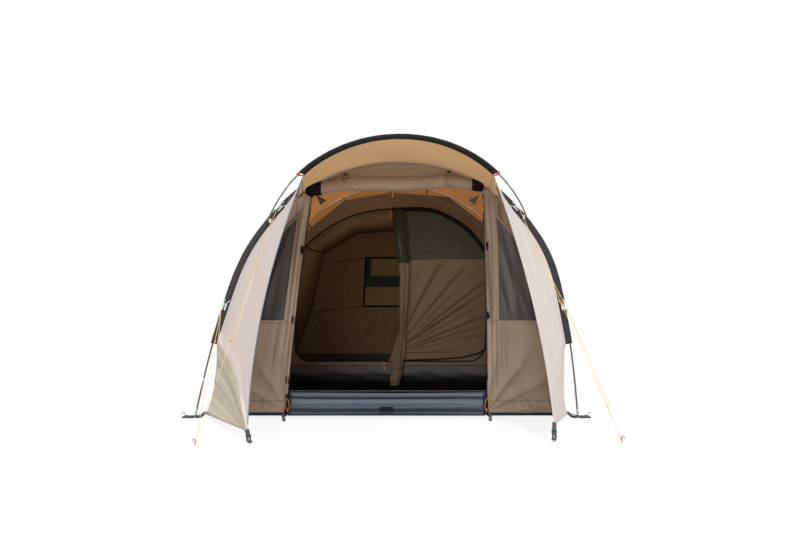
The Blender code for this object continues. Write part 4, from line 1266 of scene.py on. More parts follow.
def canopy_sleeve():
    steps = (200, 16)
    cloth = sleeve_cloth(
        canopy_place, CANOPY_SLEEVE_SHARE, CANOPY_SLEEVE_HALF, CANOPY_SLEEVE_SHIFT, steps, 0.0012, 5.1
    )
    top = np.array(canopy_place(0.0))
    quarter = cloth.spots[steps[1] // 4, steps[0] // 2]
    if float(np.dot(quarter - top, cloth.normals()[steps[1] // 4, steps[0] // 2])) < 0:
        cloth.sign = -cloth.sign
    sheet(cloth, "canopy_sleeve_cloth", ["canopy_sleeve"], "canopy_sleeve", "sleeve", "stretched",
          ["canopy_pole_rod"], body="canopy", thick=0.0011, joined=True)
    inner = CANOPY_SLEEVE_SHIFT + CANOPY_SLEEVE_HALF[0]
    count = 120
    edge = [canopy_place(CANOPY_SLEEVE_SHARE * (2 * i / count - 1), inner + 0.0015) for i in range(count + 1)]
    shape = Shape()
    shape.tube(edge, sizes().piping * 0.8, 0, 8)
    shape.place("canopy_piping", ["blue_edge"], "canopy", slot="sleeve")
    paths = []
    for inset, lift in ((inner - 0.004, 0.0080), (inner - 0.004, -0.0080)):
        paths.append([canopy_place(CANOPY_SLEEVE_SHARE * (2 * i / count - 1), inset, lift)
                      for i in range(count + 1)])
    rows = repeat("canopy_stitches", paths, sizes().stitch, SLEEVE_STITCH, UP, "dark_thread")
    settle(rows, "canopy", slot="sleeve")
    # A red webbing loop holds each end of the sleeve on the pole.
    shape = Shape()
    for side in (LEFT, RIGHT):
        ring, ups = [], []
        end = CANOPY_SLEEVE_SHARE
        for k in range(17):
            turn = 2 * pi * k / 16
            inset = CANOPY_SLEEVE_SHIFT - (CANOPY_SLEEVE_HALF[0] + 0.002) * cos(turn)
            slant = 0.006 + 0.012 * (0.5 + 0.5 * cos(turn)) * (1 if side == LEFT else 0.4)
            spot = canopy_place(side * (end + slant), inset, (CANOPY_SLEEVE_HALF[1] + 0.001) * sin(turn))
            ring.append(spot)
            ups.append(spot - canopy_place(side * (end + slant), CANOPY_SLEEVE_SHIFT))
        shape.tape(ring, ups, 0.016, FACED, 0)
    shape.place("canopy_red_ends", ["accent"], "canopy", slot="sleeve")


def fittings():
    """The moulded clip at each side that the canopy pole's end pin turns in."""
    for side, word in SIDES:
        low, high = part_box(f"canopy_fitting_{word}")
        middle = (low + high) / 2
        middle += Vector((-side * CANOPY_TUCK[side], 0, -CANOPY_DROP[side]))
        turn = Matrix.Translation(middle) @ Matrix.Rotation(radians(90), 4, "Y")
        shape = Shape()
        size = high - low
        shape.lump(turn, rounded(size.z, size.y, 0.008, 4), size.x, 0, 0.12)
        axis = canopy_axis(side, -0.014)
        shape.bead(axis, Vector((side, 0, 0)), (-0.002, 0.0, 0.003, 0.004), 0.0095, (0.9, 1, 1, 0.85), 0, 16)
        shape.place(f"canopy_clip_{word}", ["pale_plastic"], "tent", f"canopy_fitting_{word}", "webbing")


# Pieces: canopy roof, wings and fly.

# Ridges of each wing: slope in degrees from the lower front corner, how far it bows, width in
# degrees, height as a share of the deepest crease, and where each starts and ends in metres.
WING_RIDGES = {
    LEFT: (
        (24.0, 4.5, 1.9, 2.3, 0.10, 1.40),
        (20.2, 2.0, 1.5, 1.6, 0.10, 1.35),
        (35.0, 0.0, 2.2, 0.8, 0.12, 0.60),
        (14.5, 0.0, 2.0, 0.5, 0.12, 0.90),
        (44.0, 0.0, 3.0, 0.4, 0.20, 0.70),
    ),
    RIGHT: (
        (27.0, 0.0, 2.4, 0.45, 0.25, 1.4),
        (19.0, 0.0, 2.0, 0.40, 0.20, 1.2),
        (38.0, 0.0, 3.0, 0.40, 0.25, 0.9),
    ),
}

ROOF_BEND = ((0, -1.545, 1.5), (0, -1.828, 1.5))
WING_BEND_LINE = ((0, -1.545, 1.5), (0, -1.726, 1.636))


def bend_to_canopy(obj, line, replaced=(), slot=None):
    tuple(line[0])
    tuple(line[1])
    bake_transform(obj)
    return mark(obj, replaced, slot)


def roof_spot(u, v):
    s = 2 * u - 1
    rear = skin_place(FRONT_ARCH, s * roof_edge_share())
    rear = on_arch(rear.x, -SLEEVE_FACE, rear.y)
    place = rear.lerp(roof_front(s, 0.0185), v)
    place.z -= CANOPY_SAG * 4 * v * (1 - v) * (1 - s * s)
    return place


def roof():
    def folds(u, v, p):
        ends = abs(2 * u - 1)
        pull = streak(u * 5 + v * 1.5, v * 2.2, 3.1) * 0.005
        fan = sin(9 * atan2(v + 0.05, 1.06 - ends) + 4 * u) * 0.005 * ease(0.45, 1.0, ends)
        return (pull + fan) * sin(pi * v) ** 0.6

    cloth = Cloth(roof_spot, (120, 44), outside=(0, -0.3, 1), folds=folds)
    made = cloth.make("roof_cloth", ["outside", "canopy"])
    shape = Shape()
    for v, width in ((0.02, sizes().tape), (0.985, 0.010)):
        shape.seam(cloth, [(i / 90, v) for i in range(91)], -0.0016, width, BOUND, 0, turned=True)
        shape.seam(cloth, [(i / 90, v) for i in range(91)], 0.0004, width, BOUND, 1)
    seams = shape.make("roof_seams", ["canopy", "pale_seam"])
    bend_to_canopy(made, ROOF_BEND, "canopy_roof", "roof")
    bend_to_canopy(seams, ROOF_BEND, slot="roof")
    declare(made, cloth)


def wing(side, word):
    corner = beside(side, WING_CORNER[side])
    deep = sizes().crease
    ridges = WING_RIDGES[side]

    def spot(u, v):
        rear, front = wing_edges(side, u)
        return rear.lerp(front, v)

    def folds(u, v, p):
        away = p - corner
        reach = away.length
        slope = degrees(atan2(away.z, hypot(away.x, away.y) + 0.004))
        slope += 0.6 * wave(reach * 3.0, 2.0 + side)
        fan = 0.0
        for angle, bow, width, height, start, end in ridges:
            span = ease(0.02, start, reach) * (1 - ease(end * 0.7, end, reach))
            angle += bow * sin(pi * min(1.0, reach / 1.15))
            fan += height * bell(slope - angle, width) * span
        soft = streak(p.z * 1.1 + p.y * 1.0, p.y * 9 - p.z * 1.2, 7.7 + side) * 0.50
        soft += sharp(streak(p.z * 1.6, p.y * 22 - p.z * 2.5, 8.7 + side)) * 0.26 * ease(0.12, 0.5, u)
        edges = min(1.0, 12 * u + 0.3) * min(1.0, 14 * (1 - u)) * sin(pi * v) ** 0.3
        return (fan + soft * (1.0 if side == LEFT else 0.7)) * edges * deep

    cloth = Cloth(spot, (180, 180), outside=(side * 0.9, -0.4, 0), folds=folds)
    made = cloth.make(f"wing_{word}_cloth", [f"wing_{word}", "wing_inside"])
    shape = Shape()
    pipe = sizes().piping
    for edge in (across_at(1, 0, 1, 181), along_at(0, 0, 1, 181)):
        shape.tube(cloth.line(edge, lift=-0.0006)[0], pipe, 0, 8)
    for line in (
        across_at(0.985, 0.01, 1, 110),
        along_at(0.012, 0.02, 0.98, 60),
        across_at(0.012, 0.01, 1, 110),
    ):
        shape.seam(cloth, line, 0.0003, 0.014, FELLED, 1)
    # The corner is doubled where the strap is sewn on.
    corner = [(0.004 + 0.03 * t, 0.99 - 0.11 * t) for t in linspace(0, 1, 8)]
    shape.seam(cloth, corner, 0.0006, 0.05, 0.0014, 1)
    trim = shape.make(f"wing_{word}_piping", ["piping" if side == LEFT else "pale_edge", f"wing_{word}"])
    stitches = repeat(
        f"wing_{word}_stitches",
        [cloth.line(across_at(0.977, 0.012, 1, 150), lift=0.0009)[0],
         cloth.line(along_at(0.02, 0.02, 0.98, 80), lift=0.0009)[0]],
        sizes().stitch, STITCH, (side * 0.9, -0.4, 0), "pale_thread",
    )
    bend_to_canopy(made, WING_BEND_LINE, f"wing_{word}", "wing")
    bend_to_canopy(trim, WING_BEND_LINE, slot="wing")
    bend_to_canopy(stitches, WING_BEND_LINE, slot="wing")
    declare(made, cloth)


# Bands on the fly: how far they lie off it, width, thickness and look.
FLY_HEM = (0.0004, 0.030, BOUND, 0)
FLY_SEAM = (0.0003, 0.012, FELLED, 1)
FLY_EDGE = (0.0003, 0.016, FELLED, 1)


def fly(name, front, rear, node_name, seed):
    start = front[0] + SLEEVE_FACE
    end = rear[0] - SLEEVE_FACE

    def spot(u, v):
        s = 1 - 2 * u
        place = skin_place(front, s).lerp(skin_place(rear, s), v)
        swell = 4 * v * (1 - v)
        outward = arch_place(front, s)[1]
        place = place - outward * ROOF_SAG * swell * (1 - abs(s) ** 3)
        place.y += HEM_RISE * swell * abs(s) ** 8
        if front is MIDDLE_ARCH:
            push = ease(0.25, 0.7, v) * (1 - ease(0.985, 1.0, v)) * (1 - ease(0.62, 0.9, abs(s)))
            place += outward * 0.032 * push
        return on_arch(place.x, start + (end - start) * v, place.y)

    def folds(u, v, p):
        s = abs(1 - 2 * u)
        long = streak(u * 26, v * 1.6, seed) * 0.006 * (1 - 0.4 * s)
        pull = 0.0
        for edge in (v, 1 - v):
            turn = atan2(1.02 - s, edge + 0.03)
            pull += sin(turn * 13 + seed) * 0.010 * bell(1 - s, 0.30) * bell(edge, 0.4)
        ends = min(1.0, 16 * v) * min(1.0, 16 * (1 - v))
        return (long + pull) * ends

    cloth = Cloth(spot, (150, 70), folds=folds, core=(35, 75, at(0, (start + end) / 2, 0.8)))
    seams = [(along_at(u, 0, 1, 70), *FLY_HEM) for u in (0.007, 0.993)]
    seams += [(along_at(u, 0, 1, 70), *FLY_SEAM) for u in (0.24, 0.76)]
    seams += [(across_at(v, 0, 1, 150), *FLY_EDGE) for v in (0.008, 0.992)]
    held = [f"{word}_sleeve_cloth" for word, arch in ARCHES if arch in (front, rear)]
    sheet(cloth, f"{name}_cloth", ["outside", "lining"], node_name, "fly", "stretched", held,
          (f"{name}_seams", ["hem", "pale_seam"], "fly"), seams)


def arch_joints():
    """The strips down each arch's feet that join the sheets on both sides below the sleeve's ends."""
    for word, arch in ARCHES:
        shape = Shape()
        for side in (LEFT, RIGHT):
            for lift, finish in ((0.0007, 0), (-0.0007, 1)):
                places, ups = [], []
                for share in linspace(SLEEVE_SHARE - 0.02, 1.0, 40):
                    place = skin_place(arch, side * share)
                    outward = arch_place(arch, side * share)[1]
                    up = Vector((outward.x, 0, outward.y))
                    places.append(on_arch(place.x, arch[0], place.y) + up * lift)
                    ups.append(up)
                shape.tape(places, ups, 2 * SLEEVE_FACE + 0.008, 0.0012, finish)
        shape.place(f"{word}_arch_joint", ["outside", "lining"], "tent", slot="fly")


def rear_end():
    start = REAR_ARCH[0] + SLEEVE_FACE

    def spot(u, v):
        s = 1 - 2 * u
        top = skin_place(REAR_ARCH, s)
        turn = s * pi / 2
        hem_x = REAR_HEM_HALF * sin(turn)
        hem_y = start + 0.05 + REAR_REACH * cos(turn) ** 0.8
        x = top.x + (hem_x - top.x) * v
        z = top.y + (HEM_Z - top.y) * v
        hollow = 0.05 * sin(pi * v) * (1 - s * s)
        return on_arch(x, start + (hem_y - start) * v - hollow, z)

    def folds(u, v, p):
        s = 1 - 2 * u
        fan = sin(s * 22 + 2 * wave(v * 3, 9.0)) * 0.007 * ease(0.15, 0.95, v) * (1 - v) ** 0.3
        long = streak(s * 7, v * 2.4, 12.2) * 0.008
        edges = min(1.0, 12 * v) * min(1.0, 10 * (1 - v)) * min(1.0, 14 * u) * min(1.0, 14 * (1 - u))
        return (fan + long) * edges

    cloth = Cloth(spot, (130, 70), outside=(0, 1, 0.5), folds=folds)
    seams = [(across_at(0.992, 0, 1, 120), *FLY_HEM)]
    seams += [(along_at(u, 0, 1, 60), *FLY_SEAM) for u in (0.28, 0.72)]
    seams += [(across_at(0.008, 0, 1, 120), *FLY_EDGE)]
    sheet(cloth, "rear_end_cloth", ["outside", "lining"], "fly_rear_end", "fly", "stretched",
          ["rear_sleeve_cloth"], ("rear_end_seams", ["hem", "pale_seam"], "fly"), seams)
    # A hooded vent high in the rear end.
    rings = []
    for v in linspace(0.16, 0.30, 12):
        places, ups = cloth.line(across_at(v, 0.40, 0.60, 30))
        swell = 0.055 * ((v - 0.16) / 0.14) ** 1.3
        row = [place + up * (0.003 + swell * sin(pi * k / 29) ** 0.7)
               for k, (place, up) in enumerate(zip(places, ups))]
        rings.append((row, ups))
    # The hood's inner face follows the sheet's direction at its rim.
    hood = Shape()
    hood.rings([row + [p - up * 0.0012 for p, up in zip(row, rings[-1][1])][::-1] for row, _ in rings], 0)
    hood.place("rear_vent_hood", ["outside"], "tent", slot="fly", angle=50)
    vent = Shape()
    vent.seam(cloth, across_at(0.265, 0.41, 0.59, 30), 0.0008, 0.085, BOUND, 0)
    vent.place("rear_vent_net", ["mesh"], "tent", slot="mesh")


# Pieces: the front wall, windows, sill and rolled door.


def wall_panel(side, word):
    top = DOOR_TOP[1]

    def span(u, v):
        """Height, inner edge and place across: the points lie closer near the doorway."""
        z = WALL_HEM_Z + (top - WALL_HEM_Z) * v
        inner = door_edge(side, z)
        return z, inner, inner + (max(wall_edge(z), inner + 0.01) - inner) * u**1.35

    def spot(u, v):
        z, _, x = span(u, v)
        return wall_spot(side, x, z, 0.0)

    def folds(u, v, p):
        z, inner, x = span(u, v)
        post = bell(x - inner - 0.02, 0.100) * ease(0.05, 0.40, z)
        upright = streak((x - inner) * 26 + z * 1.0, z * 1.4, 21.3 + side) * 0.036 * post
        pleat = sin((x - inner) * 180 + 4.5 * wave(z * 1.1, side) - 0.8)
        upright -= max(0.0, pleat) ** 4 * 0.0115 * post
        low = 1 - ease(0.58, 0.66, z)
        tilt = 0.50 if side == LEFT else 0.62
        drag = sharp(streak((x * 0.90 + z * tilt) * 8.5, (z - x) * 1.2, 31.0 + 3 * side)) * 0.026 * low
        hub = Vector((x - 0.70, z - 0.04))
        fan = sharp(sin(atan2(hub.y, hub.x + 0.02) * 13 + 1.5 * wave(hub.length * 4, 33.0)))
        fan *= 0.0120 * bell(hub.length - 0.26, 0.22) * low * (1.0 if side == RIGHT else 0.4)
        gather = sharp(streak(x * 34 + z * 22, z * 3, 35.0)) * 0.015 * bell(z - 0.100, 0.036)
        edges = min(1.0, 25 * u + 0.05) * min(1.0, 12 * (1 - u)) * min(1.0, 30 * v + 0.1)
        return (upright + drag + fan + gather) * edges * min(1.0, 14 * (1 - v))

    def in_window(u, v):
        z, _, x = span(u, v)
        if not WINDOW_INNER[0][1] < z < WINDOW_INNER[-1][1]:
            return False
        return window_inner(z) < x < window_outer(z)

    cloth = Cloth(spot, (110, 260), outside=FACING, folds=folds)
    made = cloth.make(f"front_wall_{word}_cloth", [f"wall_{word}", "wall_back"], skip=in_window)
    settle(made, "tent", f"front_wall_{word}", "wall")
    shape = Shape()
    # The bound edge of the window, the level seams, the hem and the facing beside the zip.
    outline = window_path(side, 0.004)
    shape.tape(outline, FACING, 0.017, FACED, 0, closed=True)
    for z in (0.655, 0.118):
        v = (z - WALL_HEM_Z) / (top - WALL_HEM_Z)
        shape.seam(cloth, across_at(v, 0.10, 0.98, 60), 0.0003, 0.006, FELLED, 1)
    shape.seam(cloth, across_at(0.004, 0, 1, 60), 0.0004, 0.022, 0.0014, 2)
    shape.seam(cloth, along_at(0.065, 0, 1, 180), 0.0006, 0.012, BOUND, 0)
    trim = shape.place(f"front_wall_{word}_trim", ["wall", "seam", "hem"], "tent", slot="wall")
    rows = [[p + Vector((0, -0.0020, 0)) for p in window_path(side, 0.010)]]
    rows.append([p + up * 0.0012 for p, up in zip(*cloth.line(along_at(0.15, 0, 1, 180)))])
    stitches = repeat(f"front_wall_{word}_stitches", rows, sizes().stitch, STITCH,
                      (0, -1, 0), "thread")
    settle(stitches, "tent", slot="wall")
    declare(made, cloth)
    window_film(side, word)
    return cloth


def window_path(side, grow):
    """The window's outline as places on the wall, moved outward by grow."""
    low, high = WINDOW_INNER[0][1], WINDOW_INNER[-1][1]
    points = [(window_inner(min(max(z, low), high)) - grow, z)
              for z in linspace(low - grow, high - 0.012, 40)]
    a = (window_inner(high) - grow * 0.6, high + grow)
    b = (window_outer(high - 0.004) + grow * 0.4, high + grow * 0.8)
    points += [(a[0] + (b[0] - a[0]) * t, a[1] + (b[1] - a[1]) * t) for t in linspace(0, 1, 8)[1:-1]]
    points += [(window_outer(min(max(z, low), high)) + grow, z)
               for z in linspace(high - 0.008, low - grow, 40)]
    a, b = points[-1][0], points[0][0]
    points += [(a + (b - a) * t, low - grow) for t in linspace(0, 1, 14)[1:-1]]
    return [wall_spot(side, x, z, -0.0022) for x, z in points]


def window_film(side, word):
    low, high = WINDOW_INNER[0][1], WINDOW_INNER[-1][1]

    def spot(u, v):
        z = low - 0.010 + (high - low + 0.016) * v
        near = min(max(z, low), high)
        inner, outer = window_inner(near) - 0.009, window_outer(near) + 0.009
        return wall_spot(side, inner + (outer - inner) * u, z, 0.0030)

    def folds(u, v, p):
        slack = streak(p.x * 6 + p.z * 2.5 * side, p.z * 1.3, 41.0 + side) * 0.022
        slack += streak(p.x * 17 + p.z * 3 * side, p.z * 2.5, 44.0 + side) * 0.008
        return -abs(slack) * sin(pi * u) ** 0.5 * sin(pi * v) ** 0.5

    cloth = Cloth(spot, (50, 90), outside=FACING, folds=folds)
    sheet(cloth, f"window_{word}_film", ["film"], f"window_{word}", "window", "stretched",
          [f"front_wall_{word}_cloth"], thick=0.0006)


def header():
    low = share_at_height(wall_line, DOOR_TOP[1])

    def spot(u, v):
        top = wall_line((2 * u - 1) * low)
        foot = DOOR_TOP[1] - 0.004 + 0.040 * (1 - ease(0.47, 0.56, abs(top.x)))
        return on_arch(top.x, 0.0, foot + (top.y - foot) * v)

    def folds(u, v, p):
        x = p.x - 0.08
        value = streak(p.x * 5, p.z * 9, 51.0) * 0.007
        for place in TIE_PLACES.values():
            away = x - place
            pull = sin(atan2(p.z - 1.70, away) * 11) * 0.0045
            value += pull * bell(away, 0.12)
        return value * sin(pi * min(1.0, v * 1.1)) ** 0.5

    cloth = Cloth(spot, (170, 30), outside=FACING, folds=folds)
    sheet(cloth, "front_wall_header_cloth", ["header", "wall_back"], "front_wall_header", "wall", "stretched",
          ["front_sleeve_cloth"], ("header_trim", ["header"], "wall"),
          [(across_at(0.94, 0.06, 0.94, 120), 0.0004, 0.008, FELLED, 0)])


# The roll's centre line and radius: places across the tent, height and radius.
ROLL_LINE = (
    (-0.622, 1.540, 0.038),
    (-0.523, 1.556, 0.045),
    (-0.361, 1.579, 0.039),
    (-0.150, 1.582, 0.044),
    (0.020, 1.583, 0.046),
    (0.200, 1.592, 0.044),
    (0.341, 1.603, 0.038),
    (0.505, 1.581, 0.038),
    (0.578, 1.566, 0.034),
)
ROLL_ENDS = {LEFT: (-0.521, -0.622), RIGHT: (0.502, 0.578)}
TIE_PLACES = {LEFT: -0.361, RIGHT: 0.341}


def row_at(rows, value, soft):
    """What a table says at a value of its first column. Soft is how much it eases at each row."""
    for low, high in zip(rows, rows[1:]):
        if value <= high[0] or high is rows[-1]:
            share = (value - low[0]) / (high[0] - low[0])
            share = ease(0, 1, share) * soft + share * (1 - soft)
            return [a + (b - a) * share for a, b in zip(low[1:], high[1:])]


def roll_at(x):
    """The roll's centre and radius at a place across the tent."""
    z, radius = row_at(ROLL_LINE, x, 0.5)
    return at(x, ROLL_Y, z), radius


def rolled_door():
    """The door rolled up from its foot: layers end in a step, and the ties pinch it."""
    start, end = ROLL_ENDS[LEFT][0], ROLL_ENDS[RIGHT][0]
    steps = (230, 72)

    def spot(u, v):
        x = start + (end - start) * u
        turn = 2 * pi * v + 2.10 + 0.12 * wave(x * 4, 60.0)
        middle, radius = roll_at(x)
        pinch = 1.0
        for place in TIE_PLACES.values():
            pinch -= 0.10 * bell(x - place, 0.016)
        radius = (radius - 0.001 + 0.0045 * v) * pinch * (1 + 0.04 * cos(2 * turn))
        return middle + Vector((0, radius * cos(turn), radius * sin(turn)))

    def folds(u, v, p):
        x = start + (end - start) * u
        value = sharp(streak(x * 2.6, v * 11, 61.0)) * 0.0050
        for place in TIE_PLACES.values():
            away = x - place
            near = bell(away, 0.10) * (1 - 0.6 * bell(away, 0.02))
            fan = sin(atan2(p.z - (1.60 if away > 0 else 1.555), abs(away) + 0.010) * 9 + place)
            value += sharp(fan) * 0.0055 * near
        return value - 0.0015

    cloth = Cloth(spot, steps, folds=folds, core=(18, 115, roll_at(start + (end - start) / 2)[0]))
    rings = [[tuple(cloth.spots[j, i]) for j in range(steps[1] + 1)] for i in range(steps[0] + 1)]
    shape = Shape()
    shape.rings(rings, 0)
    made = shape.place("door_roll_cloth", ["roll"], "tent", "door_roll", "wall", angle=55)
    # The cloth that the roll hangs from, gathered over its top.
    flap = Shape()
    rows = []
    for i in range(121):
        x = start + (end - start) * i / 120
        middle, radius = roll_at(x)
        tuck = 0.004 * wave(x * 18, 63.0)
        top = at(x, -0.003, middle.z + radius + 0.014 + tuck)
        hang = middle + Vector((0, 0.012, radius * 0.98))
        front = middle + Vector((0, -0.020, radius * 0.90 + tuck * 0.5))
        rows.append([top, top.lerp(hang, 0.5) + Vector((0, -0.006, -0.002)), hang, front])
    ring = [doubled(row, (0, 0.0008, -0.0010)) for row in rows]
    flap.rings(ring, 0)
    flap.place("door_roll_flap", ["roll"], "tent", slot="wall", angle=60)
    roll_caps()


def roll_caps():
    """The rolled netting shows as a black, ribbed cap at each end of the roll."""
    for side, word in SIDES:
        near, far = ROLL_ENDS[side]
        rings = []
        count = 26
        for i in range(count + 1):
            t = i / count
            x = near - side * 0.006 + (far - near + side * 0.006) * t
            middle, radius = roll_at(x)
            size = radius * 1.03 * sqrt(max(0.03, 1 - max(0.0, (t - 0.45) / 0.58) ** 3))
            size *= 1 + 0.018 * cos(t * 26)
            ring = []
            for turn in turns(40):
                ridge = 1 + 0.028 * cos(7 * turn + 6 * t) + 0.02 * cos(15 * turn)
                ring.append(middle + Vector((0, size * ridge * cos(turn), size * ridge * sin(turn))))
            rings.append(ring)
        shape = Shape()
        shape.rings(rings, 0)
        middle = Vector(np.mean([tuple(p) for p in rings[1]], axis=0))
        shape.tube([middle + (p - middle) * 1.03 for p in rings[1]], 0.0024, 1, 8, closed=True)
        shape.place(f"door_roll_cap_{word}", ["band", "hem"], "tent", slot="black", angle=50)


def roll_ties():
    for side, word in SIDES:
        middle, radius = roll_at(TIE_PLACES[side])
        radius *= 0.93
        shape = Shape()
        ring, ups = [], []
        for k in range(49):
            turn = 2 * pi * k / 48
            up = Vector((0, cos(turn), sin(turn)))
            ring.append(middle + up * (radius + 0.0016 + 0.0016 * cos(2 * turn)))
            ups.append(up)
        shape.tape(ring, ups, 0.009, FACED, 0)
        top = at(TIE_PLACES[side], -0.012, TOGGLE_PLACE[1] + (0.004 if side == LEFT else 0.022))
        low = middle + Vector((0, -radius * 0.75, radius * 0.72))
        path = slack(low, top, (0, -0.005, 0), 10)
        shape.tape(path, (0, -1, 0.4), 0.009, 0.0014, 0)
        shape.place(f"roll_tie_{word}_webbing", ["beige_webbing"], "tent", f"roll_tie_{word}", "webbing")
        place = at(TIE_PLACES[side], TOGGLE_PLACE[0] - 0.006, top.z - 0.002)
        toggle = Shape()
        half, sizes_up = (0.003, 0.004, 0.010, 0.0115, 0.012), (0.8, 1, 1, 0.8, 0.5)
        offsets = [-d for d in half[::-1]] + list(half)
        toggle.bead(place, Vector((1, 0, 0)), offsets, 0.0075, sizes_up[::-1] + sizes_up, 0, 16)
        toggle.place(f"roll_toggle_{word}_peg", ["buckle"], f"{word}_roll_toggle",
                     f"roll_toggle_{word}", "black")
        loop = Shape()
        loop.tube(loop_round(place, (0, 0.0086, 0), (0, 0, 0.0092), 19), 0.0013, 0, 6, closed=True)
        tail = [place + Vector((0, y, z)) for y, z in ((0.008, 0), (0.018, 0.004), (0.028, 0.010))]
        loop.tube(tail, 0.0013, 0, 6)
        loop.place(f"roll_toggle_{word}_loop", ["elastic"], "tent", slot="black")


def sill():
    """The coated cloth across the doorway's foot. It sags between its ends in level folds."""

    def spot(u, v):
        z = SILL_FOOT_Z + (SILL_TOP_Z - SILL_FOOT_Z) * v
        left, right = (door_edge(side, z) - SILL_SIDE_GAP for side in (LEFT, RIGHT))
        sag = 0.005 * sin(pi * u) * v
        return at(-left + (left + right) * u, 0.0, z - sag)

    def folds(u, v, p):
        ends = sin(pi * u) ** 0.3
        drift = 0.03 * wave(u * 2.2, 71.0) + 0.008 * wave(u * 7, 73.0)
        w = v + drift * (1 - v)
        value = 0.018 * bell(w - 0.85, 0.065) - 0.016 * ease(0.0, 0.16, w) * (1 - ease(0.80, 0.90, w))
        value += 0.031 * bell(w - 0.38, 0.16) * (1 + 0.10 * wave(u * 4, 74.0))
        fine = streak(u * 3, w * 4, 72.0) * 0.0008
        corner = 0.004 * sin(v * 22 + u * 9)
        corner *= bell(u, 0.05) + bell(1 - u, 0.05)
        return (value + fine) * ends + corner * sin(pi * v)

    cloth = Cloth(spot, (190, 84), outside=FACING, folds=folds)
    made = cloth.make("sill_cloth", ["sill"], thick=0.0009)
    settle(made, "door_sill", "sill", "sill")
    shape = Shape()
    shape.seam(cloth, across_at(0.985, 0.004, 0.996, 120), 0.0004, 0.010, BOUND, 0)
    for u in (0.008, 0.992):
        shape.seam(cloth, along_at(u, 0.02, 0.98, 40), 0.0005, 0.016, BOUND, 1)
    shape.seam(cloth, across_at(0.02, 0.004, 0.996, 120), 0.0004, 0.010, BOUND, 1)
    trim = shape.place("sill_trim", ["sill", "hem"], "door_sill", slot="sill")
    # A black hook patch in the middle.
    shape = Shape()
    places, _ = cloth.line([(0.462 + 0.070 * t, 0.33) for t in linspace(0, 1, 14)], lift=0.0030)
    shape.tape(places, (0, -1, 0.05), 0.026, FACED, 0)
    patch = shape.place("sill_patch", ["band"], "door_sill", slot="black")
    row = [p + u * 0.0016 for p, u in zip(*cloth.line(across_at(0.962, 0.01, 0.99, 120)))]
    stitches = repeat("sill_stitches", [row], sizes().stitch, STITCH, FACING, "dark_thread")
    settle(stitches, "door_sill", slot="sill")
    declare(made, cloth)


def sill_ends():
    """A dark gusset at each end of the sill, with an orange cord loop hanging in front."""
    for side, word in SIDES:
        shape = Shape()
        outline = [at(side * (door_edge(side, z) + 0.004), -0.006, z) for z in linspace(0.014, 0.165, 12)]
        shape.tape(outline, FACING, 0.022 if side == LEFT else 0.012, 0.0020, 0)
        shape.place(f"sill_gusset_{word}", ["band"], "tent", slot="sill")
        loop = Shape()
        middle = at(side * 0.678, -0.016, 0.098)
        ring = [middle + Vector((0.0115 * cos(t) * (1 - 0.35 * sin(t)) + 0.004 * side * sin(t),
                                 -0.002 * sin(t), 0.040 * sin(t))) for t in turns(28)]
        loop.tube(ring, 0.0016, 0, 8, closed=True)
        knot = middle + Vector((-0.003 * side, 0.0, -0.043))
        loop.bead(knot, UP, (0.008, 0.005, -0.003, -0.012), 0.0034, (0.6, 1, 0.9, 0.5))
        loop.place(f"sill_loop_{word}", ["loop"], "tent", slot="orange")


def front_zips():
    for side, word in SIDES:
        path = [at(side * (door_edge(side, z) - 0.002), -0.0035, z) for z in linspace(0.03, 1.515, 120)]
        shape = Shape()
        shape.tape(path, FACING, sizes().zip * 0.30, 0.0014, 0)
        tapes = shape.make(f"door_zip_{word}_tape", ["band"])
        teeth = repeat(f"door_zip_{word}_teeth", [[p + Vector((0, -0.0022, 0)) for p in path]], sizes().tooth,
                       FRONT_TOOTH, FACING, "zip")
        settle(tapes, "tent", slot="black")
        settle(teeth, "tent", slot="black")
        tabs = Shape()
        heights = {LEFT: (1.143, 0.667, 0.259), RIGHT: (1.170, 0.701, 0.288)}[side]
        for z in heights:
            x = side * (door_edge(side, z) + 0.012)
            strap = [at(x, -0.0055, z + d) for d in linspace(-0.025, 0.025, 6)]
            tabs.tape(strap, FACING, 0.020, 0.0030, 0)
        tabs.place(f"door_tabs_{word}", ["band"], "tent", slot="black")
        place = at(side * door_edge(side, FRONT_SLIDER_Z), -0.004, FRONT_SLIDER_Z)
        made = zip_slider(f"door_slider_{word}_pull", place, 0.075)
        settle(made, f"{word}_door_zip_slider", f"door_slider_{word}", "orange")


def zip_slider(name, place, drop):
    """A cast slider with an orange cord pull hanging from its bail."""
    shape = Shape()
    outline = [(-0.0058, 0.008), (0.0058, 0.008), (0.0050, 0.001), (0.0036, -0.009), (-0.0036, -0.009),
               (-0.0050, 0.001)]
    turn = Matrix.Translation(place + Vector((0, -0.0035, 0))) @ Matrix.Rotation(radians(90), 4, "X")
    shape.lump(turn, outline, 0.0040, 0, 0.18)
    bail = [place + Vector((0, -0.0055 - 0.0030 * sin(t), 0.006 * cos(t))) for t in linspace(0, pi, 9)]
    shape.tube(bail, 0.0010, 0, 8)
    low = place + Vector((0, -0.0090, -0.008 - drop * 0.5))
    ring = [low + Vector((0.0050 * cos(t) * (1 - 0.5 * sin(t)), 0.0012 * cos(t), drop * 0.5 * sin(t)))
            for t in turns(24)]
    shape.tube(ring, 0.0018, 1, 8, closed=True)
    knot = low + Vector((0, 0, -drop * 0.5))
    shape.bead(knot, UP, (0.006, 0.003, -0.004, -0.011), 0.0042, (0.6, 1, 0.9, 0.4), 1)
    return shape.make(name, ["buckle", "loop"])


# Pieces: the sleeping cabin and the floor.

HOOKS = ((-0.716, 1.400), (-0.446, 1.622), (-0.056, 1.690), (0.235, 1.668), (0.430, 1.650), (0.713, 1.436))


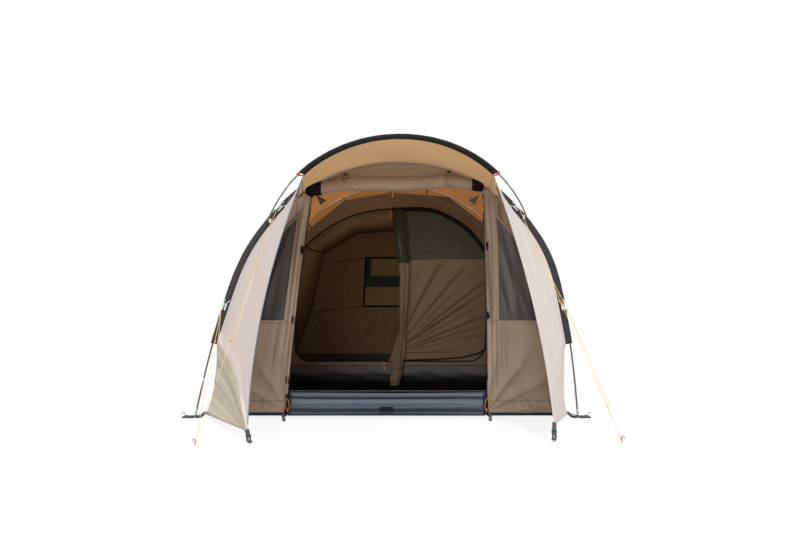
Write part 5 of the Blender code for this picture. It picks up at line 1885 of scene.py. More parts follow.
def cabin_outline(arch, count=160):
    """The cabin's outline over its top, foot to foot."""
    low = share_at_height(lambda s: cabin_line(arch, s), TUB_H + 0.004)
    return [cabin_line(arch, low * (1 - 2 * i / count)) for i in range(count + 1)]


def ray_reach(outline, centre, turn):
    """How far a closed outline lies from a centre in a direction."""
    way = Vector((cos(turn), sin(turn)))
    best = None
    for a, b in zip(outline, outline[1:] + outline[:1]):
        a, b = Vector(a) - centre, Vector(b) - centre
        edge = b - a
        cross = way.x * edge.y - way.y * edge.x
        if abs(cross) < 1e-12:
            continue
        t = (a.x * edge.y - a.y * edge.x) / cross
        w = (a.x * way.y - a.y * way.x) / cross
        if t > 0 and -1e-6 <= w <= 1 + 1e-6 and (best is None or t > best):
            best = t
    return best


def ring_cloth(name, inner, outer, centre, depth, steps, folds, looks, outside):
    """A flat wall with a hole, as a ring of cloth from the hole's edge to the outline."""
    centre = Vector(centre)
    reach = []
    for i in range(steps[0] + 1):
        turn = 2 * pi * i / steps[0]
        reach.append((turn, ray_reach(inner, centre, turn), ray_reach(outer, centre, turn)))

    def spot(u, v):
        turn, near, far = reach[int(round(u * steps[0]))]
        out = near + (far - near) * v
        return at(centre.x + out * cos(turn), depth, centre.y + out * sin(turn))

    cloth = Cloth(spot, steps, outside=outside, folds=folds)
    return cloth, cloth.make(name, looks, joined=True)


def cabin_hole(grow=0.0):
    return cabin_door_side(RIGHT, grow) + cabin_door_side(LEFT, grow)[::-1][1:]


def hooked_outline():
    """The front wall's outline, straight from hook to hook over the top."""
    low = [p for p in cabin_outline(MIDDLE_ARCH) if p.y < HOOKS[0][1] - 0.02]
    right = [tuple(p) for p in low if p.x > 0]
    left = [tuple(p) for p in low if p.x < 0]
    return right + list(HOOKS[::-1]) + left


BACK_LINE = ((1.06, 0.190), (0.99, 0.27), (0.868, 0.638), (0.800, 1.074), (0.760, 1.26), (0.417, 1.478))


def back_outline():
    """The back wall's outline, straight between its hooks."""
    right = [tuple(p) for p in BACK_LINE]
    return right + [(0.0, 1.506)] + [(-x, z) for x, z in right[::-1]]


def along_line(line, share):
    """A place at a share of a line's length."""
    line = [Vector(p) for p in line]
    steps = [(b - a).length for a, b in zip(line, line[1:])]
    left = share * sum(steps)
    for a, b, step in zip(line, line[1:], steps):
        if left <= step or b is line[-1]:
            return a.lerp(b, min(1.0, left / step))
        left -= step


def cabin_front():
    def folds(u, v, p):
        value = streak(p.x * 5, p.z * 5, 81.0) * 0.010
        slant = p.x * (0.8 if p.x > 0.1 else -0.5) + p.z * 0.6
        value -= max(0.0, sin(slant * 62 + 2 * wave(p.x * 3, 82.0))) ** 5 * 0.005
        return value * sin(pi * v) ** 0.5

    cloth, made = ring_cloth(
        "cabin_front_cloth", cabin_hole(), hooked_outline(), (0.0, 0.85), CABIN_FRONT_Y, (260, 14),
        folds, ["cabin", "cabin_inside"], (0, -1, 0)
    )
    settle(made, "tent", "cabin_front_wall", "cabin")
    shape = Shape()
    hole = cabin_hole()
    places = [at(x, CABIN_FRONT_Y - 0.002, z) for x, z in hole]
    shape.tape(places, FACING, 0.012, 0.0018, 0, closed=True)
    outer = [at(x, CABIN_FRONT_Y - 0.001, z) for x, z in hooked_outline()]
    shape.tape(outer, FACING, 0.012, FACED, 1)
    # The right door's zip is wider, with a black facing.
    band = [at(x, CABIN_FRONT_Y - 0.004, z) for x, z in cabin_door_side(RIGHT, -0.006, 10, 60)[14:]]
    shape.tape(band, FACING, 0.036, 0.0020, 0)
    trim = shape.place("cabin_front_trim", ["band", "cabin"], "tent", slot="black")
    declare(made, cloth)
    hooks()


def hooks():
    """Elastic and a hook from each corner of the cabin to the fly above it."""
    shape = Shape()
    for x, z in HOOKS:
        start = at(x, CABIN_FRONT_Y - 0.004, z)
        out = Vector((x, z - 0.75)).normalized()
        if abs(x) < 0.1:
            reach = 0.028
        else:
            reach = 0.075 if abs(x) < 0.6 else 0.035
        end = at(x + out.x * reach, CABIN_FRONT_Y - 0.012, z + out.y * reach)
        middle = start.lerp(end, 0.45)
        shape.tube([start, middle], 0.0030, 0, 8)
        tip = [end + Vector(step) for step in ((0, 0, 0), (0.004, -0.003, -0.006), (0.002, -0.005, -0.014))]
        shape.tube([middle, start.lerp(end, 0.7)] + tip, 0.0024, 1, 8)
        shape.lump(Matrix.Translation(middle) @ Matrix.Rotation(radians(90), 4, "X"),
                   rounded(0.012, 0.016, 0.003), 0.006, 1)
    shape.place("cabin_hooks", ["elastic", "buckle"], "tent", slot="black")
    toggle = Shape()
    top = at(-0.050, CABIN_FRONT_Y - 0.012, 1.695)
    strap = [top + Vector((0.006 * t, -0.002, 0.022 - 0.060 * t)) for t in linspace(0, 1, 6)]
    toggle.tape(strap, FACING, 0.016, 0.0030, 0)
    toggle.place("cabin_orange_tab", ["loop"], "tent", slot="orange")


def cabin_shell():
    front = CABIN_FRONT_Y + 0.002
    back = CABIN_BACK_Y - 0.002
    line = hooked_outline()
    line_back = back_outline()

    @lru_cache(maxsize=None)
    def ends(u):
        return along_line(line, u), along_line(line_back, u)

    def spot(u, v):
        a, b = ends(u)
        place = a.lerp(b, v)
        place.y -= 0.034 * 4 * v * (1 - v) * (1 - (1 - 2 * u) ** 2)
        return at(place.x, front + (back - front) * v, place.y)

    def folds(u, v, p):
        s = 1 - 2 * u
        hang = streak(v * 9, u * 4, 91.0) * 0.014 * (0.3 + abs(s))
        slant = sin(v * 34 + u * 20) * 0.004 * abs(s)
        return (hang + slant) * sin(pi * v) ** 0.5 * min(1.0, 10 * u + 0.1) * min(1.0, 10 * (1 - u) + 0.1)

    cloth = Cloth(spot, (160, 70), folds=folds, core=(35, 60, at(0, 2.5, 0.7)))
    seams = [([(u + (far - u) * t, t) for t in linspace(0.01, 0.99, 60)], -0.0016, 0.014, 0.0016, 0, True)
             for u, far in ((0.735, 0.705), (0.265, 0.295))]
    seams.append((across_at(0.99, 0.0, 1.0, 160), -0.0020, 0.016, 0.0024, 0, True))
    sheet(cloth, "cabin_shell_cloth", ["cabin", "cabin_inside"], "cabin_body", "cabin", "hung",
          ["middle_sleeve_cloth", "rear_sleeve_cloth"], ("cabin_shell_seams", ["band"], "black"), seams)


def cabin_back():
    half, low, high = BACK_WINDOW
    window = [(half, low), (half, high), (-half, high), (-half, low)]
    outline = back_outline()

    def folds(u, v, p):
        slanted = p.x * 1.0 - p.z * 0.42
        hang = -max(0.0, sin(slanted * 42 + 2.5 * wave(p.z * 2, 101.0))) ** 5 * 0.016
        hang *= 1 - ease(1.05, 1.25, p.z)
        hang += streak(p.x * 9 - p.z * 4, p.z * 2, 103.0) * 0.016
        hang += streak(p.x * 4, p.z * 4, 102.0) * 0.010
        hang *= sin(pi * min(1, v * 1.05)) ** 0.5 * ease(0.24, 0.42, p.z)
        return hang + 0.010 * (1 - ease(0.24, 0.36, p.z))

    cloth, made = ring_cloth(
        "cabin_back_cloth", window, outline, (0.0, 0.9575), CABIN_BACK_Y - 0.012, (260, 44),
        folds, ["cabin_inside", "cabin"], (0, -1, 0)
    )
    settle(made, "tent", "cabin_back_wall", "cabin")
    shape = Shape()
    depth = CABIN_BACK_Y - 0.016
    frame_path = [at(x, depth, z) for x, z in subdivided(window)]
    shape.tape(frame_path, FACING, 0.022, 0.0024, 0, closed=True)
    for (x0, z0), (x1, z1) in (((0.32, 1.214), (0.79, 1.150)), ((0.32, 0.700), (0.868, 0.640))):
        for side in (LEFT, RIGHT):
            seam = [at(side * (x0 + (x1 - x0) * t), depth + 0.001, z0 + (z1 - z0) * t)
                    for t in linspace(0, 1, 20)]
            shape.tape(seam, FACING, 0.010, 0.0022, 1)
    outer = [at(x, depth, z) for x, z in outline]
    shape.tape(outer, FACING, 0.012, 0.0022, 0)
    trim = shape.place("cabin_back_trim", ["band", "dark_seam"], "tent", slot="black")
    declare(made, cloth)
    # The window: netting above, a rolled dark blind across the middle and cloth below.
    panes = Shape()
    middle_low, middle_high = 0.905, 1.025
    for a, b, look_index in ((low, middle_low, 1), (middle_low, middle_high, 2), (middle_high, high, 1)):
        rows = []
        for z in linspace(a, b, 10):
            share = (z - a) / (b - a)
            puff = (0.012 if look_index == 2 else 0.003) * sin(pi * share)
            row = [at(x, CABIN_BACK_Y - 0.010 - puff, z) for x in linspace(-half, half, 24)]
            rows.append(doubled(row, (0, 0.0012, 0)))
        panes.rings(rows, look_index)
    strip = [at(0.034 - half, CABIN_BACK_Y - 0.0145, z) for z in linspace(middle_high, high, 8)]
    panes.tape(strip, FACING, 0.050, 0.0014, 2)
    panes.place("cabin_back_window_panes", ["mesh", "cabin_window", "net_fold"], "tent", "cabin_back_window",
                "mesh", angle=50)


def subdivided(corners, step=0.04):
    points = []
    for a, b in zip(corners, corners[1:] + corners[:1]):
        count = max(2, int(hypot(b[0] - a[0], b[1] - a[1]) / step))
        points += [(a[0] + (b[0] - a[0]) * i / count, a[1] + (b[1] - a[1]) * i / count) for i in range(count)]
    return points


@lru_cache(maxsize=None)
def right_edge(z):
    """The doorway's right edge at a height, for the closed door."""
    edge = cabin_door_side(RIGHT, 0.0, 16, 80)
    for (x0, z0), (x1, z1) in zip(edge, edge[1:]):
        if z0 <= z <= z1 and z1 > z0:
            return x0 + (x1 - x0) * (z - z0) / (z1 - z0)
    return CABIN_DOOR_SIDE - CABIN_DOOR_CORNER if z < edge[0][1] else edge[-1][0]


# Creases of the closed door: slope in degrees from its lower left corner, width in degrees, depth
# in metres, and where each one starts and ends.
DOOR_CREASES = (
    (-1.5, 1.6, 0.008, 0.15, 0.60),
    (9.0, 1.5, 0.013, 0.16, 1.20),
    (14.5, 1.4, 0.016, 0.12, 1.40),
    (19.5, 1.3, 0.012, 0.25, 1.40),
    (26.0, 1.4, 0.010, 0.30, 1.40),
    (32.0, 1.3, 0.021, 0.12, 1.50),
    (36.5, 1.2, 0.018, 0.10, 1.50),
    (42.5, 1.4, 0.009, 0.35, 1.20),
    (49.0, 1.7, 0.014, 0.12, 1.10),
    (61.0, 1.9, 0.015, 0.18, 1.10),
    (71.0, 1.8, 0.012, 0.22, 1.00),
    (79.0, 1.6, 0.011, 0.20, 0.90),
)


# The gathered door: height, middle, half its width and half its depth.
GATHER_LINE = (
    (0.075, 0.048, 0.036, 0.030),
    (0.160, 0.060, 0.045, 0.034),
    (0.268, 0.064, 0.046, 0.034),
    (0.370, 0.078, 0.038, 0.030),
    (0.528, 0.096, 0.018, 0.022),
    (0.640, 0.094, 0.024, 0.026),
    (0.955, 0.090, 0.031, 0.030),
    (1.115, 0.074, 0.034, 0.030),
    (1.300, 0.044, 0.034, 0.030),
    (1.480, 0.018, 0.038, 0.028),
    (1.545, 0.010, 0.030, 0.022),
)


def gather_at(z):
    """The gathered door's middle, half its width and half its depth at a height."""
    return row_at(GATHER_LINE, z, 1.0)


def right_door():
    """The closed half of the cabin's door: cloth below the seam and netting above it."""
    top = CABIN_DOOR_ARC_Z + CABIN_DOOR_ARC_R + 0.004

    def panel(name, low, high, folds, looks, node_name, slot, steps):
        def spot(u, v):
            z = low + (high - low) * v
            z = min(z, CABIN_DOOR_ARC_Z + CABIN_DOOR_ARC_R)
            inner = gather_at(max(z, 0.36))[0]
            edge = max(right_edge(z) - 0.002, inner + 0.01)
            return at(inner + (edge - inner) * u, CABIN_FRONT_Y + 0.001, z)

        cloth = Cloth(spot, steps, outside=FACING, folds=folds)
        sheet(cloth, name, looks, node_name, slot, "hung", ["cabin_front_cloth"])

    def cloth_folds(u, v, p):
        x, z = p.x - LEAN * p.z, p.z
        away = Vector((x - 0.02, z - 0.345))
        reach = away.length
        slope = degrees(atan2(away.y, away.x + 0.01)) + 1.6 * wave(reach * 3.0, 111.0)
        value = 0.0
        for angle, width, depth, start, end in DOOR_CREASES:
            run = ease(start * 0.5, start, reach) * (1 - ease(end * 0.75, end, reach))
            value -= depth * bell(slope - angle, width) * run
            value += depth * 0.5 * bell(slope - angle - 2.2 * width, 1.4 * width) * run
        soft = streak(x * 3 + z * 1.5, z * 2.2, 113.0) * 0.012 + streak(slope / 7, reach * 1.5, 114.0) * 0.018
        edges = sin(pi * min(1, u * 1.02)) ** 0.3 * min(1.0, 10 * v + 0.15)
        return (value + soft) * edges * min(1.0, 10 * (1 - v) + 0.1)

    def net_folds(u, v, p):
        x, z = p.x - LEAN * p.z, p.z
        fan = sin(atan2(z - 1.05, x - 0.02) * 12) * 0.004
        return (fan + streak(x * 6, z * 6, 115.0) * 0.006) * sin(pi * v) ** 0.4 * sin(pi * u) ** 0.5

    panel("cabin_door_cloth_sheet", CABIN_DOOR_FOOT, CABIN_DOOR_SEAM_Z, cloth_folds,
          ["cabin", "cabin_inside"], "cabin_door_cloth", "cabin", (160, 150))
    panel("cabin_door_net", CABIN_DOOR_SEAM_Z, top, net_folds, ["mesh"], "cabin_door_mesh", "mesh", (90, 50))
    shape = Shape()
    seam_edge = right_edge(CABIN_DOOR_SEAM_Z)
    seam = [at(x, CABIN_FRONT_Y - 0.002, CABIN_DOOR_SEAM_Z + 0.030 * (x / seam_edge) - 0.012)
            for x in linspace(CABIN_DOOR_MIDDLE, seam_edge, 30)]
    shape.tape(seam, FACING, 0.008, FACED, 1)
    ends = ((CABIN_DOOR_MIDDLE, 0.277), (0.40, 0.288), (0.62, 0.305), (0.74, 0.335), (0.82, 0.385))
    foot = [along_line(ends, t) for t in linspace(0, 1, 40)]
    foot = [at(p.x, CABIN_FRONT_Y - 0.014, p.y) for p in foot]
    shape.tape(foot, FACING, 0.012, 0.0018, 0)
    shape.place("cabin_door_seams", ["band", "mesh"], "tent", slot="black")


def gathered_door():
    """The open half, gathered to the middle: it hangs in long folds and is rolled at its foot."""
    top_z, foot_z = 1.545, 0.075
    steps = (84, 170)

    def spot(u, v):
        z = foot_z + (top_z - foot_z) * v
        turn = 2 * pi * u
        middle, wide, deep = gather_at(z)
        rolled = 1 - ease(0.24, 0.34, z)
        long = cos(4 * turn + 1.6 * v + 0.7 * wave(v * 4, 121.0))
        swell = 1 + (0.34 * (1 - rolled) + 0.06 * rolled) * long
        return at(middle + wide * swell * cos(turn), BUNDLE_Y + deep * swell * sin(turn), z)

    def folds(u, v, p):
        spiral = sin(v * 120 + 2 * pi * u) * 0.0022 * (1 - ease(0.24, 0.30, p.z))
        waist = bell(p.z - 0.50, 0.16)
        fine = sharp(streak(cos(2 * pi * u) * 6, v * 3, 124.0)) * 0.007 * (0.6 + waist)
        return spiral + streak(u * 9, v * 14, 123.0) * 0.003 + fine - 0.001

    cloth = Cloth(spot, steps, folds=folds, core=(85, 0, None))
    rings = [[tuple(cloth.spots[j, i]) for i in range(steps[0])] for j in range(steps[1] + 1)]
    shape = Shape()
    shape.rings(rings, 0)
    made = shape.place("cabin_door_bundle", ["cabin"], "tent", "cabin_door_gathered", "cabin", angle=60)
    # A stray flap leaves the bundle towards the zip, and two loops hold the rolled foot.
    flap = Shape()
    rows = []
    for t in linspace(0, 1, 26):
        z = 0.52 - 0.24 * t
        inner = at(0.080 - 0.030 * t, BUNDLE_Y - 0.020, z)
        outer = at(0.068 - 0.078 * t, BUNDLE_Y - 0.004 + 0.020 * t, z - 0.006)
        row = [inner.lerp(outer, k / 9) + Vector((0, -0.009 * sin(pi * k / 9 * 2.2) * t, 0))
               for k in range(10)]
        rows.append(doubled(row, (0, 0.0011, 0)))
    flap.rings(rows, 0)
    flap.place("cabin_door_flap", ["cabin"], "tent", slot="cabin", angle=60)
    ties = Shape()
    for z, slant in ((0.215, 0.10), (0.115, 0.30)):
        j = int((z - foot_z) / (top_z - foot_z) * steps[1])
        middle = cloth.spots[j].mean(0)
        ring = []
        for i in range(0, steps[0], 3):
            spot_here = cloth.spots[j, i]
            out = Vector(spot_here - middle)
            ring.append(Vector(middle) + out * 1.07 + Vector((0, 0, slant * out.x)))
        ties.tube(ring, 0.0026, 0, 8, closed=True)
    ties.place("cabin_door_ties", ["elastic"], "tent", slot="black")
    dark = Shape()
    rows = []
    for t in linspace(0, 1, 30):
        z = 1.10 + 0.445 * t
        middle, wide, deep = gather_at(z)
        row = []
        for k in range(17):
            turn = pi * (1.06 + 0.88 * k / 16)
            swell = 1.44 + 0.09 * cos(5 * turn + 3 * t) + 0.07 * cos(11 * turn - 4 * t)
            row.append(at(middle + wide * swell * cos(turn), BUNDLE_Y + deep * swell * sin(turn), z))
        rows.append(doubled(row, (0, 0.0014, 0)))
    dark.rings(rows, 0)
    dark.place("cabin_door_facing", ["net_fold"], "tent", slot="mesh", angle=60)


def cabin_zips():
    left = [p for p in cabin_door_side(LEFT, 0.004, 12, 60)]
    path = [at(x, CABIN_FRONT_Y - 0.0035, z) for x, z in left]
    foot = [at(x, CABIN_FRONT_Y - 0.0035, CABIN_DOOR_FOOT - 0.003) for x in linspace(-0.06, -0.66, 24)]
    teeth = repeat("cabin_zip_teeth", [path, foot], sizes().tooth, CABIN_TOOTH, FACING, "zip")
    settle(teeth, "tent", slot="black")
    depth = CABIN_FRONT_Y - 0.004
    low = zip_slider("cabin_slider_low_pull", at(CABIN_LOW_SLIDER_X, depth, CABIN_DOOR_FOOT), 0.050)
    settle(low, "low_cabin_zip_slider", "cabin_slider_low", "orange")
    x, z = cabin_door_arc(0.0)
    top = zip_slider("cabin_slider_top_pull", at(x, depth, z), 0.062)
    settle(top, "top_cabin_zip_slider", "cabin_slider_top", "orange")


# How far out the tub's floor reaches, as a share of the sheet from its middle to its rim.
TUB_FLOOR = 0.62


def tub_rise(v):
    return max(0.0, (v - TUB_FLOOR) / (1 - TUB_FLOOR))


def tub():
    """The cabin's floor and its raised sides. The front slopes in and creases across."""
    front = CABIN_FRONT_Y + 0.004
    back = CABIN_BACK_Y - 0.004

    def spot(u, v):
        # Around the middle of the floor: u runs round it, v from the floor's middle to the rim.
        turn = 2 * pi * u
        x, y = cos(turn), sin(turn)
        reach = 1 / max(abs(x), abs(y))
        x, y = x * reach, y * reach
        flat = min(1.0, v / TUB_FLOOR)
        rise = tub_rise(v)
        low_y = front + TUB_SLOPE if y < 0 else back - 0.004
        mid = (front + TUB_SLOPE + back) / 2
        span = (mid - low_y) if y < 0 else (low_y - mid)
        px = TUB_HALF * (0.998 * flat) * x
        py = mid + span * flat * y
        if rise:
            slope = TUB_SLOPE * max(0.0, -y) if y < 0 else 0.0
            py -= slope * rise
        return at(px, py, 0.0008 + (TUB_H - 0.002) * rise)

    def folds(u, v, p):
        rise = tub_rise(v)
        behind = p.y - FRONT_Y - front
        front_side = ease(0.10, 0.0, behind - 0.06) if behind < TUB_SLOPE + 0.02 else 0.0
        crease = sin(p.x * 16 + p.z * 60 + 3 * wave(p.x * 2.2, 131.0)) * 0.008 * rise * (0.3 + front_side)
        soft = streak(p.x * 4, p.z * 18, 133.0) * 0.016 * rise * (1 - rise) * 4
        soft -= 0.020 * front_side * bell(rise - 0.74, 0.16)
        return (crease + soft) * min(1.0, 8 * (1 - v) + 0.1)

    cloth = Cloth(spot, (240, 44), outside=(0, 0, 1), folds=folds)
    sheet(cloth, "cabin_tub_sheet", ["tub_inside", "tub"], "cabin_tub", "tub", "laid", [],
          ("cabin_tub_rim", ["band"], "tub"), [(across_at(0.995, 0, 1, 200), 0.0004, 0.012, BOUND, 0)],
          thick=0.0007, joined=True)


def floor_sheet():
    half = CORNER_SHARE * FRONT_ARCH[1] - 0.04
    start, end = 0.012, CABIN_FRONT_Y + TUB_SLOPE - 0.012

    def spot(u, v):
        y = start + (end - start) * v
        return Vector((half * (2 * u - 1), FRONT_Y + y, 0.0022 + 0.019 * (1 - ease(0.02, 0.17, y))))

    def folds(u, v, p):
        value = streak(p.x * 3.5, p.y * 3.5, 141.0) * 0.010 + streak(p.x * 9, p.y * 9, 143.0) * 0.004
        return abs(value) * sin(pi * u) ** 0.4 * sin(pi * v) ** 0.4

    cloth = Cloth(spot, (110, 80), outside=(0, 0, 1), folds=folds)
    sheet(cloth, "living_floor_sheet", ["floor"], "living_floor", "tub", "laid", ["cabin_tub"], thick=0.0008)


# Pieces: lines, pegs and straps.


def guy_ends(side, level):
    z = GUY_Z[0] if level == "upper" else GUY_Z[1]
    peg = at(side * GUY_PEG[side][0], GUY_PEG[side][1], GUY_PEG_Z)
    start = guy_place(side, z, TIE_OUT) + Vector((0, -POLE_R, 0))
    along = (peg - start).normalized()
    level_back = Vector((-along.x, -along.y, 0)).normalized()
    spread = Vector((0, 0, 0.006 if level == "upper" else -0.002))
    return start, peg + level_back * (PEG_R + LINE_R + 0.002) + spread


def guyline(side, word, level, share):
    start, end = guy_ends(side, level)
    count = 24
    path = [start.lerp(end, i / count) for i in range(count + 1)]
    shape = Shape()
    shape.tube(path, LINE_R, 0, 10)
    name = f"guyline_{word}_{level}_cord"
    made = shape.make(name, ["line"])
    body = f"{word}_{level}_runner"
    pale = side == RIGHT and level == "lower"
    runner = runner_piece(f"runner_{word}_{level}_slide", start.lerp(end, share), end,
                          "line" if pale else "pull")
    settle(runner, body, f"runner_{word}_{level}", "orange")
    # The line is doubled from a small bead near the ring down to the runner.
    bead_share = {"upper": 0.30 if side == LEFT else 0.20, "lower": 0.04}[level]
    bead = start.lerp(end, bead_share)
    low = start.lerp(end, share)
    aside = Vector((0.021 if side == LEFT else 0.016, -0.004, 0.0))
    second = Shape()
    strand = [bead.lerp(low, t) + aside * t + Vector((0, -0.0034, 0)) for t in linspace(0, 1, 20)]
    second.tube(strand, LINE_R, 0, 8)
    along = (end - start).normalized()
    second.bead(bead, along, (-0.010, -0.006, 0.006, 0.011), 0.0042, (0.6, 1, 1, 0.5), 1)
    double = second.place(f"guyline_{word}_{level}_double", ["line", "loop"], "tent", slot="line")
    # A loop round the peg ends the line, with a knot before it, and another knot starts the line.
    ends = Shape()
    aslant = along.cross(UP).normalized()
    ring = [end + along * 0.010 * cos(t) + aslant * 0.0065 * sin(t) for t in turns(16)]
    ends.tube([p + along * 0.004 for p in ring], LINE_R, 0, 8, closed=True)
    ends.bead(end - along * 0.012, along, (-0.010, -0.004, 0.004, 0.008), 0.0036, (0.5, 1, 1, 0.6), 0, 8)
    ends.bead(start + along * 0.012, along, (-0.012, -0.004, 0.004, 0.010), 0.0036, (0.5, 1, 1, 0.5), 0, 8)
    knots = ends.place(f"guyline_{word}_{level}_knots", ["line"], "tent", slot="line")
    settle(made, "tent", f"guyline_{word}_{level}", "line")
    tuple(start)
    [tuple(p) for p in path]


def runner_piece(name, place, end, finish):
    along = (end - place).normalized()
    across = Vector((1, 0, 0)) - along * along.x
    across.normalize()
    turn = Matrix((across, along, across.cross(along))).transposed().to_4x4()
    matrix = Matrix.Translation(place) @ turn @ Matrix.Scale(0.8, 4)
    shape = Shape()
    outline = [(0.006, 0.016), (0.0068, 0.004), (0.0052, -0.004), (0.0064, -0.014), (0.0035, -0.0165),
               (-0.0035, -0.0165), (-0.0064, -0.014), (-0.0052, -0.004), (-0.0068, 0.004), (-0.006, 0.016)]
    shape.lump(matrix, outline, 0.0060, 0, 0.16)
    for y in (-0.010, 0.009):
        ring = [matrix @ Vector((0.0028 * cos(t), y + 0.0028 * sin(t), 0.0031)) for t in turns(12)]
        shape.tube(ring, 0.0008, 0, 6, closed=True)
    return shape.make(name, [finish])


def guy_rings():
    """The pale cords in each cut-out of the front sleeve, which the guylines are tied to."""
    for side, word in SIDES:
        shape = Shape()
        for z in GUY_Z:
            s = side * guy_share(z)
            out = arch_place(FRONT_ARCH, s)[1] * (POLE_R + 0.0026)
            ring = loop_round(guy_place(side, z), (out.x, 0, out.y), (0, -POLE_R - 0.0026, 0), 20)
            shape.tube(ring, 0.0020, 0, 8, closed=True)
            heart = guy_place(side, z, TIE_OUT * 0.7) + Vector((0, -POLE_R - 0.003, 0))
            for inset in (-0.006, 0.030):
                above = arch_place(FRONT_ARCH, s - side * 0.020, inset)[0]
                tip = on_arch(above.x, FRONT_ARCH[0] - SLEEVE_HALF[1] * 0.8, above.y)
                shape.tube([heart, heart.lerp(tip, 0.5) + Vector((0, -0.002, 0)), tip], 0.0026, 0, 8)
        shape.place(f"guy_rings_{word}", ["ring"], "tent", slot="webbing")


def peg_piece(name, node_name, x, y, side, facing):
    hook = facing.normalized() * PEG_HOOK
    base = at(side * x, y, 0)
    points = [base + UP * PEG_H * share for share in (0, 0.5, 1)]
    for turn in linspace(0.15 * pi, pi, 8):
        points.append(base + hook * (0.5 - 0.5 * cos(turn)) + UP * (PEG_H + 0.0065 * sin(turn)))
    points.append(base + hook + UP * PEG_H * 0.72)
    shape = Shape()
    shape.tube(points, PEG_R, 0, 12)
    settle(shape.make(name, ["steel"]), "tent", node_name, "steel")


def pegs():
    for side, word in SIDES:
        out = Vector((side, 0, 0))
        peg_piece(f"guy_peg_{word}_hook", f"guy_peg_{word}", *GUY_PEG[side], side, out + Vector((0, -1, 0)))
        peg_piece(f"wing_peg_{word}_hook", f"wing_peg_{word}", *WING_PEG[side], side, Vector((0, -1, 0)))
        peg_piece(f"foot_peg_{word}_hook", f"foot_peg_{word}", FOOT_PEG_X, 0.0, side, out)


def ladder_buckle(matrix, width=0.030, height=0.021):
    """A ladder buckle: a frame with three bars, made of rods. Y runs along the strap."""
    shape = Shape()
    half, top = width / 2, height / 2
    for x in (0.002 - half, half - 0.002):
        rail = [(x, y, 0.0012 * sin(pi * (y / height + 0.5))) for y in linspace(-top, top, 8)]
        shape.tube([matrix @ Vector(p) for p in rail], 0.0024, 0, 10)
    for y in (0.002 - top, -0.001, top - 0.002):
        bar = [(x, y, 0.0016) for x in linspace(0.001 - half, half - 0.001, 6)]
        shape.tube([matrix @ Vector(p) for p in bar], 0.0022, 0, 10)
    lip = [(x, top + 0.002, 0.0034) for x in linspace(0.004 - half, half - 0.004, 6)]
    shape.tube([matrix @ Vector(p) for p in lip], 0.0020, 0, 8)
    return shape


def wing_straps():
    for side, word in SIDES:
        start = beside(side, WING_CORNER[side])
        x, y = WING_PEG[side]
        end = at(side * x, y, 0.012)
        along = (end - start).normalized()
        up = Vector((0, -1, 0.9))
        up = (up - along * up.dot(along)).normalized()
        path = [start.lerp(end, t) + up * 0.0012 * sin(pi * t * 3) for t in linspace(-0.12, 0.92, 20)]
        shape = Shape()
        shape.tape(path, up, 0.025, 0.0022, 0)
        tail_start = start.lerp(end, 0.52)
        tail = [tail_start + up * 0.004 + along * 0.03 * t + up * 0.010 * t
                + Vector((side * 0.008 * t, 0, -0.010 * t * t)) for t in linspace(0, 1, 8)]
        shape.tape(tail, up, 0.018, 0.0014, 0)
        middle = end + Vector((0, 0.0, 0.004))
        ring = [middle + Vector((0.010 * cos(t), 0.013 * sin(t), 0.0015 * sin(2 * t))) for t in turns(20)]
        shape.tube(ring, 0.0052, 0, 8, closed=True)
        shape.place(f"wing_strap_{word}_webbing", ["webbing"], "tent", f"wing_strap_{word}", "webbing")
        low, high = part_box(f"wing_buckle_{word}")
        side_way = along.cross(up).normalized()
        matrix = Matrix((side_way, along, up)).transposed().to_4x4()
        matrix = Matrix.Translation((low + high) / 2) @ matrix
        made = ladder_buckle(matrix).make(f"wing_buckle_{word}_ladder", ["buckle"])
        settle(made, f"{word}_wing_buckle", f"wing_buckle_{word}", "black")


def foot_strap(name, arch, side, node_name=None):
    """Webbing from the fly's corner past the pole's pin to a peg, with a buckle and an eyelet."""
    inner = at(side * (CORNER_SHARE * arch[1] - 0.006), arch[0], 0.016)
    outer = at(side * (arch[1] + 0.064), arch[0], FOOT_STRAP_Z)
    path, ups = [], []
    for t in linspace(0, 1, 34):
        # The webbing comes down from the fly's corner and runs out over the floor in small waves.
        place = inner.lerp(outer, t)
        lift = 0.026 * (1 - ease(0.0, 0.45, t)) + 0.004 * sin(t * 15) * (1 - ease(0.55, 0.65, t))
        place.z = 0.0075 + lift + 0.004 * ease(0.72, 0.95, t)
        place.y -= 0.006 * sin(t * 9)
        path.append(place)
        lean = 1.0 - 0.65 * ease(0.0, 0.3, t) * (1 - ease(0.3, 0.5, t)) + 0.2 * sin(t * 12)
        ups.append((0.0, -lean, 0.55))
    shape = Shape()
    shape.tape(path, ups, 0.023, 0.0022, 0)
    pole = at(side * arch[1], arch[0], FOOT_STRAP_Z + 0.0022)
    shape.tube(loop_round(pole, (0.0078, 0, 0), (0, 0.0078, 0), 20), 0.0018, 1, 8, closed=True)
    middle = at(side * (arch[1] + 0.068), arch[0], 0.0062)
    shape.tube(loop_round(middle, (0.014, 0, 0), (0, 0.010, 0), 20), 0.0062, 0, 10, closed=True)
    made = shape.make(name, ["webbing", "steel"])
    settle(made, "tent", node_name or (), "webbing")
    matrix = Matrix.Translation(at(side * (arch[1] - 0.040), arch[0] - 0.010, 0.0165))
    for turn, axis in ((90, "Z"), (-52, "Y")):
        matrix = matrix @ Matrix.Rotation(radians(turn * side), 4, axis)
    buckle = ladder_buckle(matrix).make(f"{name}_ladder", ["buckle"])
    settle(buckle, "tent", slot="black")


